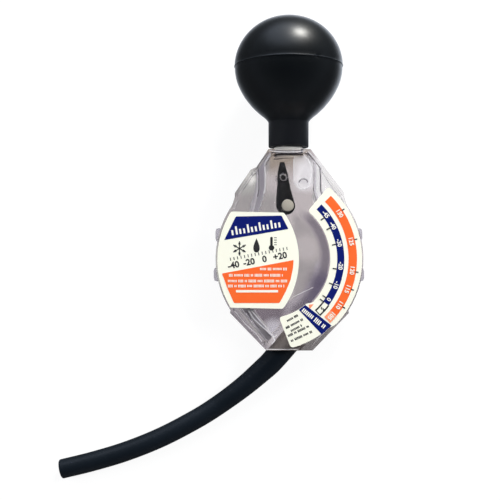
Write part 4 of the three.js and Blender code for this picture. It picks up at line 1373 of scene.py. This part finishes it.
def namePrints():
    prints = {}
    for colour in ("navy", "orange"):
        outline = roundCorners(fromPixels(nameInk[colour]), nameInk["corner"])
        prints[colour + "_panel"] = [inkFilm(colour, outline, colour + "Ink")]
    white = [inkFilm("bar", fromPixels(nameInk["bar"]), "whiteInk", 1)]
    for k, (px, py, length) in enumerate(nameInk["rows"]):
        white += strokeRow(f"row{k}", px, py, length, "whiteInk", 1, k)
    marks = nameInk["marks"]
    for k in range(marks["count"]):
        x, y = placeInRow(marks, k)
        tall = marks["heights"][k % 3]
        white.append(bars(f"mark{k}", "whiteInk", (marks["width"], tall), (x, y + tall / 2), 1,
                          turn=math.radians(marks["turn"])))
    prints["white_print"] = white
    dark = snowflake("blackInk") + [droplet("blackInk")] + thermometer("blackInk")
    degrees = nameInk["degrees"]
    for k, text in enumerate(degrees["texts"]):
        dark.append(number(f"degree{k}", text, degrees["size"], placeInRow(degrees, k),
                           degrees["turn"], "blackInk", 0))
    rule = nameInk["rule"]
    dark.append(bars("rule", "blackInk", rule["size"], onFace(*rule["place"]), count=rule["count"],
                     step=rule["step"], turn=math.radians(rule["turn"])))
    prints["dark_print"] = dark
    return prints


# Arcs and bands run round the dial's centre; angles are in degrees.
scaleInk = {
    # radius, first angle, last angle and steps of each arc of the outline
    "outline": [(44.9, -75.3, -48.3, 24), (46.1, -44.7, 50, 60), (30.6, 50, -44.7, 60),
                (28.9, -48.3, -78.9, 24)],
    "corner": 1.7,
    # inner and outer radius, first and last angle, and steps of each band
    "blue": (34.0, 37.4, 45.4, -37.2),
    "orange": (39.5, 43.6, 45.0, -45.6),
    "paleBlock": (39.5, 43.6, -39.4, -45.6, 8),
    "gate": {
        "gateInner": (33.95, 34.7, -37.2, -47.2, 10),
        "gateOuter": (37.05, 37.8, -37.2, -47.2, 10),
        "gateEnd": (34.7, 37.05, -46.5, -47.2, 2),
    },
    # text, size, radius, angle and turn
    "gateNumber": ("5", 2.6, 36.0, -42.2, -132),
    # radius, size and angles of each row of ticks
    "ticks": {
        "innerTick": (33.3, (2.4, 0.6), [36.1, 26.4, 12.2, -8.2, -21.3, -33.5, -37.4]),
        "outerTick": (44.0, (1.5, 0.55), [33.1, 12.6, -8.3, -19.9, -32.5]),
    },
    # radius, layer, and the angle and text of each number
    "numbers": {
        "blue": (35.7, 1, [(37.5, "-45"), (27, "-40"), (12.8, "-30"), (-5.3, "-20"), (-20.7, "-10"),
                           (-33.4, "0")]),
        "orange": (41.55, 2, [(32.5, "130"), (12, "125"), (-7.5, "120"), (-20.4, "115"),
                              (-32.5, "110"), (-41.5, "105")]),
    },
    "numberSize": 2.9,
    # in pixels of the picture's frame
    "crossBand": [(298.8, 309.9), (305.2, 304.8), (331.6, 325.6), (321.7, 334.3)],
    "crossWord": {"middle": (314.8, 319.2), "length": 31, "slant": -38.5, "style": (0.6, 2.4, 0.95)},
    "paleMark": [(308.6, 304.6), (313.6, 304.2), (309.6, 309.2)],
    "tailRows": [((287, 321), (298, 315)), ((286, 328), (303, 319)), ((291, 331), (302, 325)),
                 ((288, 336), (309, 326)), ((291, 341), (313, 331))],
    "tailStyle": (0.5, 1.15, 0.68),
}


def scaleOutline():
    outline = []
    corner = scaleInk["corner"]
    for radius, first, last, steps in scaleInk["outline"]:
        room = math.copysign(math.degrees(2 * corner / radius), last - first)
        middle = arc(dial["x"], dial["y"], radius, first + room, last - room, steps)
        outline += [aboutDial(radius, first), *middle, aboutDial(radius, last)]
    return roundCorners(outline, corner, 4)


def scalePrints():
    blue = [inkFilm("blueBand", band(*scaleInk["blue"]), "navyInk"),
            inkFilm("crossBand", fromPixels(scaleInk["crossBand"]), "navyInk")]
    orange = [inkFilm("orangeBand", band(*scaleInk["orange"]), "orangeInk")]
    black = []
    for name, (radius, size, angles) in scaleInk["ticks"].items():
        for k, angle in enumerate(angles):
            black.append(bars(f"{name}{k}", "blackInk", size, aboutDial(radius, angle), 1,
                              turn=math.radians(angle)))
    for name, course in scaleInk["gate"].items():
        black.append(inkFilm(name, band(*course), "blackInk"))
    text, size, radius, angle, turned = scaleInk["gateNumber"]
    black.append(number("gateNumber", text, size, aboutDial(radius, angle), turned, "blackInk", 0))
    for k, ((ax, ay), (bx, by)) in enumerate(scaleInk["tailRows"]):
        length = math.hypot(bx - ax, by - ay)
        slant = math.degrees(math.atan2(ay - by, bx - ax))
        black += strokeRow(f"tailRow{k}", (ax + bx) / 2, (ay + by) / 2, length, "blackInk", 0, k,
                           slant, scaleInk["tailStyle"])
    white = []
    for name, (radius, layer, numbers) in scaleInk["numbers"].items():
        for angle, text in numbers:
            white.append(number(name + text, text, scaleInk["numberSize"], aboutDial(radius, angle),
                                angle - 90, "whiteInk", layer))
    cross = scaleInk["crossWord"]
    white += strokeRow("crossWord", *cross["middle"], cross["length"], "whiteInk", 1, 2,
                       cross["slant"], cross["style"])
    pale = [inkFilm("paleBlock", band(*scaleInk["paleBlock"]), "paleOrangeInk", 1),
            inkFilm("paleMark", fromPixels(scaleInk["paleMark"]), "paleOrangeInk")]
    return {"blue_band": blue, "orange_band": orange, "pale_marks": pale, "black_marks": black,
            "white_numbers": white}


buildLabel("name_label", nameOutline(), namePrints)
buildLabel("scale_label", scaleOutline(), scalePrints)
print("labels ready")
